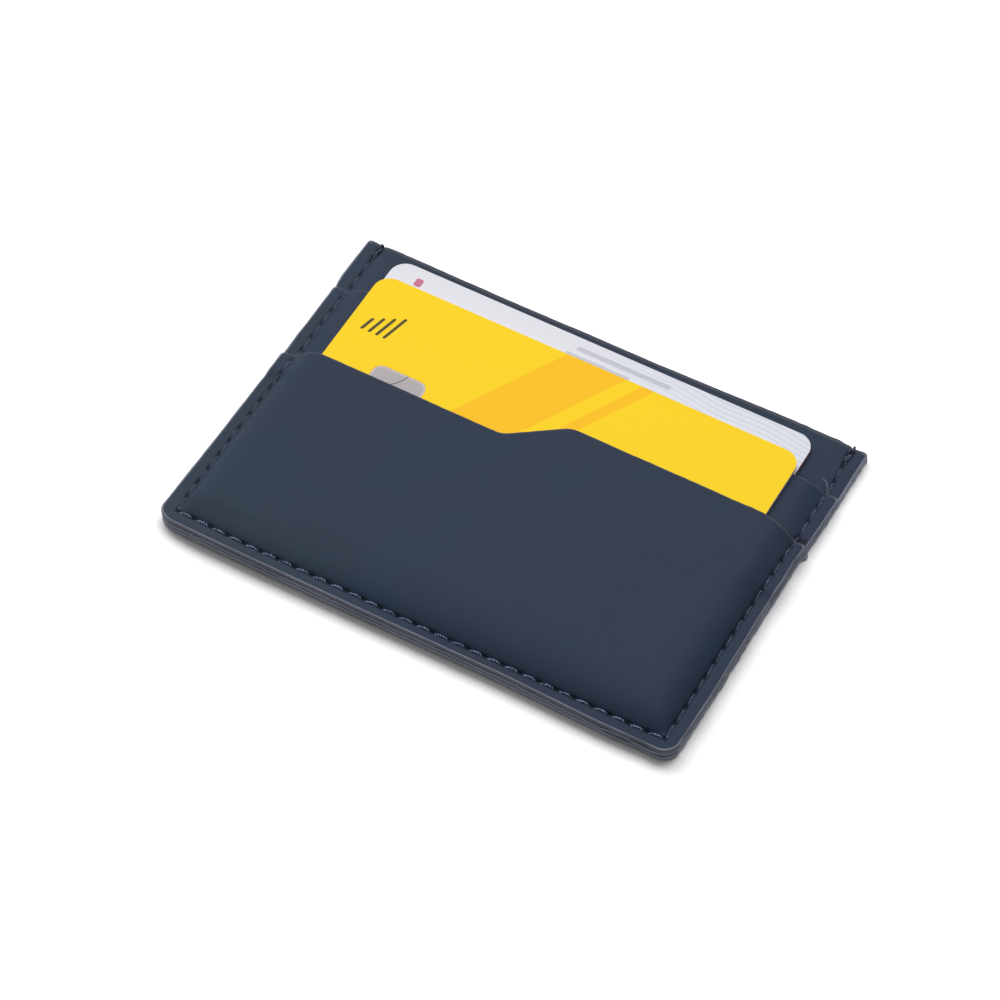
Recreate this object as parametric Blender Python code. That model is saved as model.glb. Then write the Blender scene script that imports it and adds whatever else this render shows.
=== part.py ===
"""Card holder of stitched synthetic leather, with two cards in its pockets.

The holder lies on its back. X runs along its width, Y towards the pocket mouths and Z up
through its layers. The origin is the centre of the rear face.

Three panels, each a laminate of thin sheets with a painted edge, are sewn together along
both sides and the bottom: the rear panel, the divider and the front pocket. A T-shaped
middle pocket is sewn to the divider by its wings and by its own floor seam.
"""
import math

import bpy
from mathutils import Matrix, Vector
from mathutils.geometry import delaunay_2d_cdt

MM = 0.001

# The ordinary bank card size that the holder is made for
CARD_WIDTH = 85.60 * MM
CARD_HEIGHT = 53.98 * MM
CARD_THICKNESS = 0.76 * MM
CARD_CORNER_RADIUS = 3.18 * MM

# Room round the cards inside the pockets, and how far each can still be pushed in
CARDS_X = -0.8 * MM
CARD_SIDE_ROOM = 1.0 * MM
CARD_END_ROOM = 0.30 * MM
BANK_CARD_PUSH_IN = 2.5 * MM
ID_CARD_PUSH_IN = 1.0 * MM

# The front pocket's rise between the seam's groove and the cards, and its corners
SIDE_RISE = 3.85 * MM
BOTTOM_RISE = 5.37 * MM
LOWER_CORNER_RADIUS = 3.0 * MM

# Sheet thicknesses
REAR_SKIN = 0.60 * MM
DIVIDER_SKIN = 0.55 * MM
MIDDLE_SKIN = 0.50 * MM
FRONT_SKIN = 0.55 * MM
LINING = 0.20 * MM
POCKET_LINING = 0.15 * MM
SHIELD = 0.08 * MM

# Gaps through the thickness
CENTRE_POCKET_GAP = 0.40 * MM
SEAM_GAP = 0.22 * MM
GLUE_GAP = 0.06 * MM
CARD_CLEARANCE = 0.15 * MM

# Painted edges
PAINT_DEPTH = 0.35 * MM
PAINT_GAP = 0.05 * MM

# Seam along the sides and the bottom
STITCH_INSET = 2.60 * MM
STITCH_PITCH = 3.50 * MM
THREAD_RADIUS = 0.25 * MM
THREAD_GAP = 0.03 * MM
STITCH_ARCH = 0.08 * MM
STITCH_END_INSET = 1.0 * MM
GROOVE_DEPTH = 0.25 * MM
GROOVE_HALF_WIDTH = 0.55 * MM
GROOVE_FLOOR_HALF_WIDTH = 0.22 * MM
REAR_GROOVE_DEPTH = 0.38 * MM
REAR_THREAD_RADIUS = 0.15 * MM
SHIELD_SEAM_ROOM = 0.60 * MM

# How far below the holder's top edge each card's edge and each pocket's mouth lies
BANK_CARD_INSET = 7.9 * MM
ID_CARD_INSET = 2.2 * MM
MOUTH_LOW_INSET = 30.0 * MM
MOUTH_HIGH_INSET = 22.8 * MM
MIDDLE_MOUTH_LEFT_INSET = 12.0 * MM
MIDDLE_MOUTH_RIGHT_INSET = 11.3 * MM
WING_END_INSET = 34.6 * MM

# Front pocket: two mouth heights joined by a slanted step
STEP_LOW_X = -6.2 * MM
STEP_HIGH_X = 4.0 * MM
STEP_BEND_RADIUS = 4.0 * MM
FRONT_DROP = 1.15 * MM
DROP_START_INSET = 7.2 * MM
DROP_END_INSET = 2.3 * MM
DROP_BEND_RADIUS = 2.4 * MM

# Middle pocket: wings to the side seams, a tongue between them and a floor seam
MIDDLE_DROP_LEFT = 1.8 * MM
MIDDLE_DROP_RIGHT = 0.9 * MM
WING_CORNER_RADIUS = 2.0 * MM
WING_RAMP = 3.0 * MM
WING_ROOM = 0.6 * MM
TONGUE_SIDE_ROOM = 0.4 * MM
TONGUE_CORNER_RADIUS = 2.5 * MM
FLOOR_RAMP = 1.6 * MM
FLOOR_STITCH_ROOM = 1.0 * MM
FLOOR_HEM = 1.5 * MM
FLOOR_STITCH_SIDE_INSET = 3.0 * MM
FLOOR_THREAD_RADIUS = 0.20 * MM
FLOOR_BOBBIN_RADIUS = 0.13 * MM

# Inside the bank card
PLATE_WIDTH = 10.6 * MM
PLATE_HEIGHT = 8.0 * MM
PLATE_THICKNESS = 0.18 * MM
PLATE_CORNER_RADIUS = 1.8 * MM
PLATE_GAP = 0.06 * MM
PLATE_CENTRE_FROM_LEFT = 15.06 * MM
PLATE_TOP_FROM_TOP = 18.5 * MM
MODULE_WIDTH = 6.0 * MM
MODULE_HEIGHT = 5.2 * MM
MODULE_THICKNESS = 0.16 * MM
MODULE_CORNER_RADIUS = 1.0 * MM
MODULE_ROOM = 0.30 * MM
MODULE_BASE_GAP = 0.12 * MM
ANTENNA_INSET = 4.0 * MM
ANTENNA_HALF_WIDTH = 0.9 * MM
ANTENNA_THICKNESS = 0.07 * MM
ANTENNA_ROOM = 0.10 * MM
ANTENNA_LEAD_SPACING = 3.0 * MM

# How finely curves are cut, and how far cutting tools run past a piece
ARC_STEP = math.radians(11.25)
RISE_SHARES = (0.0, 0.2, 0.4, 0.6, 0.8, 1.0)
RAMP_SHARES = (0.0, 0.3, 0.7, 1.0)
MITRE_LEAST_SHARE = 0.5
THREAD_SIDES = 6
OVERRUN = 1.0 * MM
WELD = 0.001 * MM

# Overall size: a card with its room, then the rise and the flat sewn margin round it
RISE_START = STITCH_INSET + GROOVE_HALF_WIDTH
POCKET_HALF_WIDTH = CARD_WIDTH / 2 + CARD_SIDE_ROOM
HALF_WIDTH = POCKET_HALF_WIDTH + SIDE_RISE + RISE_START
POCKET_DEPTH = CARD_HEIGHT + BANK_CARD_PUSH_IN + CARD_END_ROOM + BANK_CARD_INSET
HALF_HEIGHT = (RISE_START + BOTTOM_RISE + POCKET_DEPTH) / 2
WIDTH = 2 * HALF_WIDTH
HEIGHT = 2 * HALF_HEIGHT
SIDE_SEAM = HEIGHT - STITCH_END_INSET - STITCH_INSET
SEAM_LENGTH = 2 * SIDE_SEAM + WIDTH - 2 * STITCH_INSET

# Heights up the holder
BANK_CARD_TOP_Y = HALF_HEIGHT - BANK_CARD_INSET
BANK_CARD_BOTTOM_Y = BANK_CARD_TOP_Y - CARD_HEIGHT
ID_CARD_TOP_Y = HALF_HEIGHT - ID_CARD_INSET
ID_CARD_BOTTOM_Y = ID_CARD_TOP_Y - CARD_HEIGHT
MOUTH_LOW_Y = HALF_HEIGHT - MOUTH_LOW_INSET
MOUTH_HIGH_Y = HALF_HEIGHT - MOUTH_HIGH_INSET
MIDDLE_MOUTH_LEFT_Y = HALF_HEIGHT - MIDDLE_MOUTH_LEFT_INSET
MIDDLE_MOUTH_RIGHT_Y = HALF_HEIGHT - MIDDLE_MOUTH_RIGHT_INSET
WING_END_Y = HALF_HEIGHT - WING_END_INSET
TONGUE_HALF_WIDTH = POCKET_HALF_WIDTH - TONGUE_SIDE_ROOM
FLOOR_FLAT_Y = ID_CARD_BOTTOM_Y - ID_CARD_PUSH_IN - CARD_END_ROOM
FLOOR_STITCH_Y = FLOOR_FLAT_Y - FLOOR_RAMP - FLOOR_STITCH_ROOM
MIDDLE_BOTTOM_Y = FLOOR_STITCH_Y - FLOOR_HEM
WING_RAMP_TOP_Y = WING_END_Y - WING_ROOM

# Levels through the thickness, from the rear face up
REAR_TOP = REAR_SKIN + SHIELD + LINING
DIVIDER_BOTTOM = REAR_TOP + CENTRE_POCKET_GAP
DIVIDER_TOP = DIVIDER_BOTTOM + LINING + DIVIDER_SKIN
MIDDLE_STACK = POCKET_LINING + GLUE_GAP + MIDDLE_SKIN
FRONT_STACK = POCKET_LINING + GLUE_GAP + SHIELD + GLUE_GAP + FRONT_SKIN
SEAM_LEVEL = DIVIDER_TOP + SEAM_GAP
FRONT_OVER_WING_LEVEL = SEAM_LEVEL + MIDDLE_STACK + SEAM_GAP
ID_CARD_LEVEL = DIVIDER_TOP + CARD_CLEARANCE
MIDDLE_FLAT_LEVEL = ID_CARD_LEVEL + CARD_THICKNESS + CARD_CLEARANCE
BANK_CARD_LEVEL = MIDDLE_FLAT_LEVEL + MIDDLE_STACK + CARD_CLEARANCE
FRONT_FLAT_LEVEL = BANK_CARD_LEVEL + CARD_THICKNESS + CARD_CLEARANCE
CARD_FRONT_SHEET = PLATE_THICKNESS + MODULE_THICKNESS + MODULE_BASE_GAP


def ease(value):
    """Go from 0 to 1 with level ends."""
    value = min(max(value, 0.0), 1.0)
    return value * value * (3.0 - 2.0 * value)


def swell(value):
    """Go from 0 to 1, steep at first and level at the end."""
    value = min(max(value, 0.0), 1.0)
    return value * (2.0 - value)


def side_share(x):
    """0 in the sewn side margins, 1 over the cards."""
    return swell((HALF_WIDTH - abs(x) - RISE_START) / SIDE_RISE)


def groove(x, y, depth=GROOVE_DEPTH):
    """Depth of the pressed groove that the seam lies in."""
    off_seam = abs(min(HALF_WIDTH - abs(x), y + HALF_HEIGHT) - STITCH_INSET)
    wall = GROOVE_HALF_WIDTH - GROOVE_FLOOR_HALF_WIDTH
    return depth * min(max((GROOVE_HALF_WIDTH - off_seam) / wall, 0.0), 1.0)


def rear_face(x, y):
    """The flat face that the holder rests on, with the seam's groove pressed into it."""
    return groove(x, y, REAR_GROOVE_DEPTH)


def middle_underside(x, y):
    """The middle pocket lifts off the divider by a card, and comes down to its floor seam."""
    floor = ease((y - FLOOR_FLAT_Y + FLOOR_RAMP) / FLOOR_RAMP)
    return SEAM_LEVEL + side_share(x) * floor * (MIDDLE_FLAT_LEVEL - SEAM_LEVEL)


def front_underside(x, y):
    """The front pocket rises from its seam, which is higher where it crosses the wings."""
    bottom = swell((y + HALF_HEIGHT - RISE_START) / BOTTOM_RISE)
    over_wing = ease((y - WING_RAMP_TOP_Y + WING_RAMP) / WING_RAMP)
    seam = SEAM_LEVEL + over_wing * (FRONT_OVER_WING_LEVEL - SEAM_LEVEL)
    return seam + side_share(x) * bottom * (FRONT_FLAT_LEVEL - seam)


def level(height):
    """A surface at one height."""
    return lambda x, y: height


def above(surface, height, grooved=False):
    """A surface a fixed height above another, with the seam's groove or without it."""
    if grooved:
        return lambda x, y: surface(x, y) + height - groove(x, y)
    return lambda x, y: surface(x, y) + height


def rounded(corners):
    """Outline through corners (x, y, radius), anticlockwise, each turned by an arc."""
    points = []
    for index, (x, y, radius) in enumerate(corners):
        corner = Vector((x, y))
        if radius == 0:
            points.append(corner)
            continue
        before = (Vector(corners[index - 1][:2]) - corner).normalized()
        after = (Vector(corners[(index + 1) % len(corners)][:2]) - corner).normalized()
        half = before.angle(after) / 2
        centre = corner + (before + after).normalized() * (radius / math.sin(half))
        spoke = corner + before * (radius / math.tan(half)) - centre
        turn = math.pi - 2 * half
        if before.cross(after) > 0:
            turn = -turn
        steps = max(2, round(abs(turn) / ARC_STEP))
        for step in range(steps + 1):
            spin = Matrix.Rotation(turn * step / steps, 2)
            points.append(centre + spin @ spoke)
    return points


def panel_outline(cut, mouth):
    """Outline cut back by a distance, with the lower corners rounded and the given mouth."""
    side = HALF_WIDTH - cut
    bottom = -HALF_HEIGHT + cut
    radius = LOWER_CORNER_RADIUS - cut
    lower = [(-side, bottom, radius), (side, bottom, radius)]
    return rounded(lower + mouth)


def straight_mouth(cut):
    """The straight top edge that the rear panel and the divider share."""
    side = HALF_WIDTH - cut
    return [(side, HALF_HEIGHT - cut, 0), (-side, HALF_HEIGHT - cut, 0)]


def dropped_end(side, cut, mouth_y, drop):
    """A pocket mouth's end, where it bends down to the seam. side is -1 left, 1 right."""
    outer = side * (HALF_WIDTH - DROP_END_INSET)
    inner = side * (HALF_WIDTH - DROP_START_INSET)
    low = mouth_y - drop - cut
    ends = [(side * (HALF_WIDTH - cut), low, 0), (outer, low, DROP_BEND_RADIUS)]
    return ends + [(inner, mouth_y - cut, DROP_BEND_RADIUS)]


def stepped_mouth(cut):
    """The front pocket's mouth: high at the right, a slanted step, low at the left."""
    right = dropped_end(1, cut, MOUTH_HIGH_Y, FRONT_DROP)
    left = dropped_end(-1, cut, MOUTH_LOW_Y, FRONT_DROP)
    step = [(STEP_HIGH_X, MOUTH_HIGH_Y - cut, STEP_BEND_RADIUS)]
    step += [(STEP_LOW_X, MOUTH_LOW_Y - cut, STEP_BEND_RADIUS)]
    return right + step + left[::-1]


def middle_outline(cut):
    """T shape: mouth and wings above, a tongue as wide as a card down to the floor seam."""
    side = HALF_WIDTH - cut
    tongue = TONGUE_HALF_WIDTH
    right = [(tongue, MIDDLE_BOTTOM_Y, TONGUE_CORNER_RADIUS), (tongue, WING_END_Y, WING_CORNER_RADIUS)]
    right += [(side, WING_END_Y, 0)]
    right += dropped_end(1, cut, MIDDLE_MOUTH_RIGHT_Y, MIDDLE_DROP_RIGHT)
    left = [(-tongue, MIDDLE_BOTTOM_Y, TONGUE_CORNER_RADIUS), (-tongue, WING_END_Y, WING_CORNER_RADIUS)]
    left += [(-side, WING_END_Y, 0)]
    left += dropped_end(-1, cut, MIDDLE_MOUTH_LEFT_Y, MIDDLE_DROP_LEFT)
    return rounded(right + left[::-1])


def seam_lines(rise=False):
    """Fold lines that run round the sides and the bottom: the groove's, then the rise's."""
    groove_edges = (-GROOVE_HALF_WIDTH, -GROOVE_FLOOR_HALF_WIDTH, GROOVE_FLOOR_HALF_WIDTH)
    insets = [(STITCH_INSET + edge, STITCH_INSET + edge) for edge in groove_edges]
    for share in RISE_SHARES if rise else (0.0,):
        insets.append((RISE_START + share * SIDE_RISE, RISE_START + share * BOTTOM_RISE))
    lines = []
    for from_side, from_bottom in insets:
        for side in (-1, 1):
            x = side * (HALF_WIDTH - from_side)
            lines.append(((x, -HALF_HEIGHT - OVERRUN), (x, HALF_HEIGHT + OVERRUN)))
        y = -HALF_HEIGHT + from_bottom
        lines.append(((-HALF_WIDTH - OVERRUN, y), (HALF_WIDTH + OVERRUN, y)))
    for side in (-1, 1):
        corner = (side * HALF_WIDTH, -HALF_HEIGHT)
        inner = (side * (HALF_WIDTH - RISE_START), -HALF_HEIGHT + RISE_START)
        lines.append((corner, inner))
    return lines


def margin_lines(heights):
    """Short cross lines over both side margins, at each height up the holder."""
    lines = []
    for y in heights:
        for side in (-1, 1):
            outer = side * (HALF_WIDTH + OVERRUN)
            lines.append(((outer, y), (side * POCKET_HALF_WIDTH, y)))
    return lines


class Plan:
    """An outline seen from above, split into triangles along fold lines."""

    def __init__(self, outline, lines=()):
        points = [Vector(point) for point in outline]
        edges = []
        for start, end in lines:
            edges.append((len(points), len(points) + 1))
            points += [Vector(start), Vector(end)]
        face = list(range(len(outline)))
        result = delaunay_2d_cdt(points, edges, [face], 0, WELD)
        inside = [face for face, origin in zip(result[2], result[5]) if origin]
        used = sorted({index for face in inside for index in face})
        place = {index: order for order, index in enumerate(used)}
        self.points = [tuple(result[0][index]) for index in used]
        self.faces = [[place[index] for index in face] for face in inside]

    def rim(self):
        """Point numbers round the outline, anticlockwise."""
        following = {}
        for face in self.faces:
            for start, end in zip(face, face[1:] + face[:1]):
                following[start, end] = True
        ahead = {start: end for start, end in following if (end, start) not in following}
        loop = [min(ahead)]
        while ahead[loop[-1]] != loop[0]:
            loop.append(ahead[loop[-1]])
        return loop


def add_object(name, vertices, faces, material, origin=(0, 0, 0), parent=None):
    """One named solid, with its origin at the given place."""
    mesh = bpy.data.meshes.new(name)
    shift = Vector(origin)
    mesh.from_pydata([Vector(vertex) - shift for vertex in vertices], [], faces)
    mesh.shade_smooth()
    mesh.set_sharp_from_angle(angle=math.radians(30))
    mesh.materials.append(material)
    solid = bpy.data.objects.new(name, mesh)
    solid.location = shift
    bpy.context.scene.collection.objects.link(solid)
    if parent:
        solid.location = shift - parent.location
        solid.parent = parent
    return solid


def sheet(name, plan, underside, topside, material, **placing):
    """A thin solid between two surfaces over a plan."""
    count = len(plan.points)
    vertices = [(x, y, underside(x, y)) for x, y in plan.points]
    vertices += [(x, y, topside(x, y)) for x, y in plan.points]
    faces = [face[::-1] for face in plan.faces]
    faces += [[index + count for index in face] for face in plan.faces]
    rim = plan.rim()
    for start, end in zip(rim, rim[1:] + rim[:1]):
        faces.append([start, end, end + count, start + count])
    return add_object(name, vertices, faces, material, **placing)


def outward(before, here, after):
    """Mitre direction at a rim point of an anticlockwise outline, one unit proud of it."""
    first = (here - before).normalized()
    second = (after - here).normalized()
    normal = Vector((first.y + second.y, -first.x - second.x)).normalized()
    return normal / max(normal.dot(Vector((first.y, -first.x))), MITRE_LEAST_SHARE)


# Section of a painted edge: share of its depth outwards, share of the panel's thickness
PAINT_SECTION_SHARES = ((0.0, 0.0), (0.0, 1.0), (0.55, 0.94), (1.0, 0.65), (1.0, 0.35), (0.55, 0.06))


def painted_edge(name, plan, underside, topside, material, keep=None):
    """Rounded bead of edge paint round a panel's cut edge, or along the part of it to keep."""
    rim = plan.rim()
    places = [Vector(plan.points[index]) for index in rim]
    ring = []
    for index, here in enumerate(places):
        mitre = outward(places[index - 1], here, places[(index + 1) % len(places)])
        ring.append((here, mitre))
    closed = keep is None
    if not closed:
        flags = [keep(here.x, here.y) for here, mitre in ring]
        first = next(i for i, flag in enumerate(flags) if flag and not flags[i - 1])
        ring = [entry for entry in ring[first:] + ring[:first] if keep(*entry[0])]
    vertices = []
    for here, mitre in ring:
        low = underside(here.x, here.y)
        high = topside(here.x, here.y)
        for depth_share, height_share in PAINT_SECTION_SHARES:
            spot = here + mitre * (PAINT_GAP + depth_share * (PAINT_DEPTH - PAINT_GAP))
            vertices.append((spot.x, spot.y, low + height_share * (high - low)))
    return add_object(name, vertices, tube_faces(len(ring), len(PAINT_SECTION_SHARES), closed), material)


def tube_faces(rings, sides, closed=False):
    """Faces of a tube whose rings turn anticlockwise as seen from its end."""
    faces = []
    for ring in range(rings if closed else rings - 1):
        here = ring * sides
        ahead = (ring + 1) % rings * sides
        for side in range(sides):
            other = (side + 1) % sides
            faces.append([here + side, here + other, ahead + other, ahead + side])
    if not closed:
        faces.append(list(range(sides))[::-1])
        faces.append([(rings - 1) * sides + side for side in range(sides)])
    return faces


def thread(name, route, radii, material):
    """Thread along route points, thinner where its radius is."""
    vertices = []
    for index, here in enumerate(route):
        ahead = route[min(index + 1, len(route) - 1)]
        run = (ahead - route[max(index - 1, 0)]).normalized()
        across = Vector((0, 0, 1)).cross(run).normalized()
        lift = run.cross(across)
        for side in range(THREAD_SIDES):
            angle = 2 * math.pi * (side + 0.5) / THREAD_SIDES
            spoke = across * math.cos(angle) + lift * math.sin(angle)
            vertices.append(here + spoke * radii[index])
    return add_object(name, vertices, tube_faces(len(route), THREAD_SIDES), material)


def stitch_stations(length, per_stitch):
    """Distances along a seam, and how far through its stitch each lies."""
    stitches = max(1, round(length / STITCH_PITCH))
    count = stitches * per_stitch
    return [(length * step / count, step % per_stitch / per_stitch) for step in range(count + 1)]


def seam_place(travel):
    """Place on the seam: down the left side, along the bottom, up the right side."""
    x = HALF_WIDTH - STITCH_INSET
    bottom = -HALF_HEIGHT + STITCH_INSET
    side = SIDE_SEAM
    if travel <= side:
        return -x, bottom + side - travel
    if travel <= side + 2 * x:
        return travel - side - x, bottom
    return x, bottom + travel - side - 2 * x


def seam_stations(per_stitch):
    """Stations of the whole seam, with a stitch ending at each lower corner."""
    bottom = SEAM_LENGTH - 2 * SIDE_SEAM
    stations = stitch_stations(SIDE_SEAM, per_stitch)[:-1]
    stations += [(SIDE_SEAM + at, share) for at, share in stitch_stations(bottom, per_stitch)][:-1]
    start = SIDE_SEAM + bottom
    stations += [(start + at, share) for at, share in stitch_stations(SIDE_SEAM, per_stitch)]
    return stations


def top_of_stack(x, y):
    """Height of the uppermost panel at a place on the side or bottom seam."""
    front_end = MOUTH_HIGH_Y if x > 0 else MOUTH_LOW_Y
    middle_end = MIDDLE_MOUTH_RIGHT_Y - MIDDLE_DROP_RIGHT
    if x < 0:
        middle_end = MIDDLE_MOUTH_LEFT_Y - MIDDLE_DROP_LEFT
    if y < front_end - FRONT_DROP:
        return front_underside(x, y) + FRONT_STACK - groove(x, y)
    if y < middle_end:
        return middle_underside(x, y) + MIDDLE_STACK - groove(x, y)
    return DIVIDER_TOP - groove(x, y)


# Share of its full form that a stitch has at each third of its length, the share of its
# thickness that is left where it dips into a hole, and where along it its support is felt
STITCH_FORM_SHARES = (0.0, 1.0, 1.0)
THREAD_NECK_SHARE = 0.7
REACH_SHARES = (-1.0, -0.75, -0.5, -0.25, 0.0, 0.25, 0.5, 0.75, 1.0)


def top_thread(material):
    """The thread on the front: a run of stitches that dips at each hole and climbs each edge."""
    route = []
    radii = []
    thirds = len(STITCH_FORM_SHARES)
    reach = STITCH_PITCH / thirds + THREAD_RADIUS
    for travel, part in seam_stations(thirds):
        form_share = STITCH_FORM_SHARES[round(part * thirds)]
        x, y = seam_place(travel)
        near = [min(max(travel + share * reach, 0), SEAM_LENGTH) for share in REACH_SHARES]
        support = max(top_of_stack(*seam_place(spot)) for spot in near)
        radius = THREAD_RADIUS * (THREAD_NECK_SHARE + (1 - THREAD_NECK_SHARE) * form_share)
        route.append(Vector((x, y, support + THREAD_GAP + THREAD_RADIUS + STITCH_ARCH * form_share)))
        radii.append(radius)
    return thread("seam_top_thread", route, radii, material)


def bobbin_thread(material):
    """The thread on the rear, sunk in its groove behind the rear face."""
    route = []
    for travel, part in seam_stations(2):
        x, y = seam_place(travel)
        dip = (REAR_GROOVE_DEPTH - 2 * REAR_THREAD_RADIUS - 2 * THREAD_GAP) * (1 if part == 0 else 0)
        route.append(Vector((x, y, THREAD_GAP + REAR_THREAD_RADIUS + dip)))
    return thread("seam_bobbin_thread", route, [REAR_THREAD_RADIUS] * len(route), material)


def floor_thread(name, radius, height, arch, material):
    """One thread of the middle pocket's floor seam, straight across the tongue."""
    length = 2 * (TONGUE_HALF_WIDTH - FLOOR_STITCH_SIDE_INSET)
    route = []
    for travel, part in stitch_stations(length, 2):
        bow = 0 if part == 0 else arch
        route.append(Vector((travel - length / 2, FLOOR_STITCH_Y, height + bow)))
    return thread(name, route, [radius] * len(route), material)


def finish(name, colour, roughness, metallic=0.0):
    """A plain surface finish."""
    surface = bpy.data.materials.new(name)
    surface.use_nodes = True
    shader = surface.node_tree.nodes["Principled BSDF"]
    shader.inputs["Base Color"].default_value = (*colour, 1.0)
    shader.inputs["Roughness"].default_value = roughness
    shader.inputs["Metallic"].default_value = metallic
    return surface


def rectangle(centre_x, centre_y, width, height, radius):
    """Rounded rectangle about a centre."""
    left = centre_x - width / 2
    right = centre_x + width / 2
    low = centre_y - height / 2
    high = centre_y + height / 2
    return rounded([(left, low, radius), (right, low, radius), (right, high, radius), (left, high, radius)])


def cutter(name, outline, low, high, parent):
    """A wire-drawn block that a Boolean cuts with."""
    block = sheet(name, Plan(outline), level(low), level(high), None, parent=parent)
    block.hide_render = True
    block.display_type = "WIRE"
    return block


def cut(solid, tool, operation="DIFFERENCE"):
    """Cut a solid by a tool, which stays in the file as a guide."""
    boolean = solid.modifiers.new(tool.name, "BOOLEAN")
    boolean.object = tool
    boolean.operation = operation
    boolean.solver = "EXACT"


def card_frame(name, top_y, base):
    """Empty at the middle of a card's underside, on the line that the card slides along."""
    frame = bpy.data.objects.new(name, None)
    frame.location = (CARDS_X, top_y - CARD_HEIGHT / 2, base)
    bpy.context.scene.collection.objects.link(frame)
    return frame


def build_rear_panel(skin, foil, cloth, paint):
    """Rear cover with the seam's groove behind, shielding foil, and lining."""
    outline = panel_outline(PAINT_DEPTH, straight_mouth(PAINT_DEPTH))
    grooved = Plan(outline, seam_lines())
    sheet("rear_cover", grooved, rear_face, level(REAR_SKIN), skin)
    inset = STITCH_INSET + SHIELD_SEAM_ROOM
    foil_size = (WIDTH - 2 * inset, HEIGHT - 2 * inset)
    foil_plan = Plan(rectangle(0, 0, *foil_size, LOWER_CORNER_RADIUS))
    sheet("rear_shield_foil", foil_plan, level(REAR_SKIN), level(REAR_SKIN + SHIELD), foil)
    plain = Plan(outline)
    sheet("rear_lining", plain, level(REAR_SKIN + SHIELD), level(REAR_TOP), cloth)
    painted_edge("rear_edge_paint", plain, level(0), level(REAR_TOP), paint)


def build_divider(skin, cloth, paint):
    """Divider between the centre pocket and the card pockets, lined at its back."""
    outline = panel_outline(PAINT_DEPTH, straight_mouth(PAINT_DEPTH))
    face = DIVIDER_BOTTOM + LINING
    topside = above(level(face), DIVIDER_SKIN, grooved=True)
    grooved = Plan(outline, seam_lines())
    sheet("divider", grooved, level(face), topside, skin)
    sheet("divider_lining", Plan(outline), level(DIVIDER_BOTTOM), level(face), cloth)
    painted_edge("divider_edge_paint", grooved, level(DIVIDER_BOTTOM), topside, paint)


def middle_edge_shows(x, y):
    """True on the middle pocket's mouth and on its wings' outer edges."""
    lowest_mouth = MIDDLE_MOUTH_LEFT_Y - MIDDLE_DROP_LEFT - PAINT_DEPTH
    return y > lowest_mouth - WELD or abs(x) > HALF_WIDTH - PAINT_DEPTH - WELD


def build_middle_pocket(skin, cloth, paint):
    """T-shaped pocket for the rear card, painted only where its edge shows."""
    lines = seam_lines(rise=True)
    ramp = [FLOOR_FLAT_Y - FLOOR_RAMP * share for share in RAMP_SHARES]
    lines = [line for line in lines if line[0][0] == line[1][0]]
    lines += [((-HALF_WIDTH, y), (HALF_WIDTH, y)) for y in ramp]
    plan = Plan(middle_outline(PAINT_DEPTH), lines)
    lined = POCKET_LINING + GLUE_GAP
    topside = above(middle_underside, MIDDLE_STACK, grooved=True)
    sheet("middle_pocket", plan, above(middle_underside, lined), topside, skin)
    lining_top = above(middle_underside, POCKET_LINING)
    sheet("middle_pocket_lining", plan, middle_underside, lining_top, cloth)
    painted_edge("middle_edge_paint", plan, middle_underside, topside, paint, keep=middle_edge_shows)


def build_front_pocket(skin, foil, cloth, paint):
    """Front pocket with the stepped mouth, bulged over both cards."""
    lines = seam_lines(rise=True)
    lines += margin_lines([WING_RAMP_TOP_Y - WING_RAMP * share for share in RAMP_SHARES])
    plan = Plan(panel_outline(PAINT_DEPTH, stepped_mouth(PAINT_DEPTH)), lines)
    foil_base = POCKET_LINING + GLUE_GAP
    skin_base = foil_base + SHIELD + GLUE_GAP
    topside = above(front_underside, FRONT_STACK, grooved=True)
    sheet("front_pocket", plan, above(front_underside, skin_base), topside, skin)
    foil_top = above(front_underside, foil_base + SHIELD)
    sheet("front_shield_foil", plan, above(front_underside, foil_base), foil_top, foil)
    lining_top = above(front_underside, POCKET_LINING)
    sheet("front_pocket_lining", plan, front_underside, lining_top, cloth)
    painted_edge("front_edge_paint", plan, front_underside, topside, paint)


def antenna_strip(half_width, lead_end):
    """Outline of the wound antenna's band: once round the card, with two leads to the chip."""
    plate_x = CARDS_X - CARD_WIDTH / 2 + PLATE_CENTRE_FROM_LEFT
    plate_y = BANK_CARD_TOP_Y - PLATE_TOP_FROM_TOP - PLATE_HEIGHT / 2
    left = CARDS_X - CARD_WIDTH / 2 + ANTENNA_INSET
    right = CARDS_X + CARD_WIDTH / 2 - ANTENNA_INSET
    low = BANK_CARD_BOTTOM_Y + ANTENNA_INSET
    high = BANK_CARD_TOP_Y - ANTENNA_INSET
    lead = ANTENNA_LEAD_SPACING / 2
    start = plate_x - lead_end
    route = [(start, plate_y + lead), (left, plate_y + lead), (left, high), (right, high)]
    route += [(right, low), (left, low), (left, plate_y - lead), (start, plate_y - lead)]
    places = [Vector(point) for point in route]
    sides = ([], [])
    for index, here in enumerate(places):
        before = places[index - 1] if index else here * 2 - places[1]
        after = places[index + 1] if index + 1 < len(places) else here * 2 - places[-2]
        mitre = outward(before, here, after)
        sides[0].append(here + mitre * half_width)
        sides[1].append(here - mitre * half_width)
    return sides[0] + sides[1][::-1]


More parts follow.
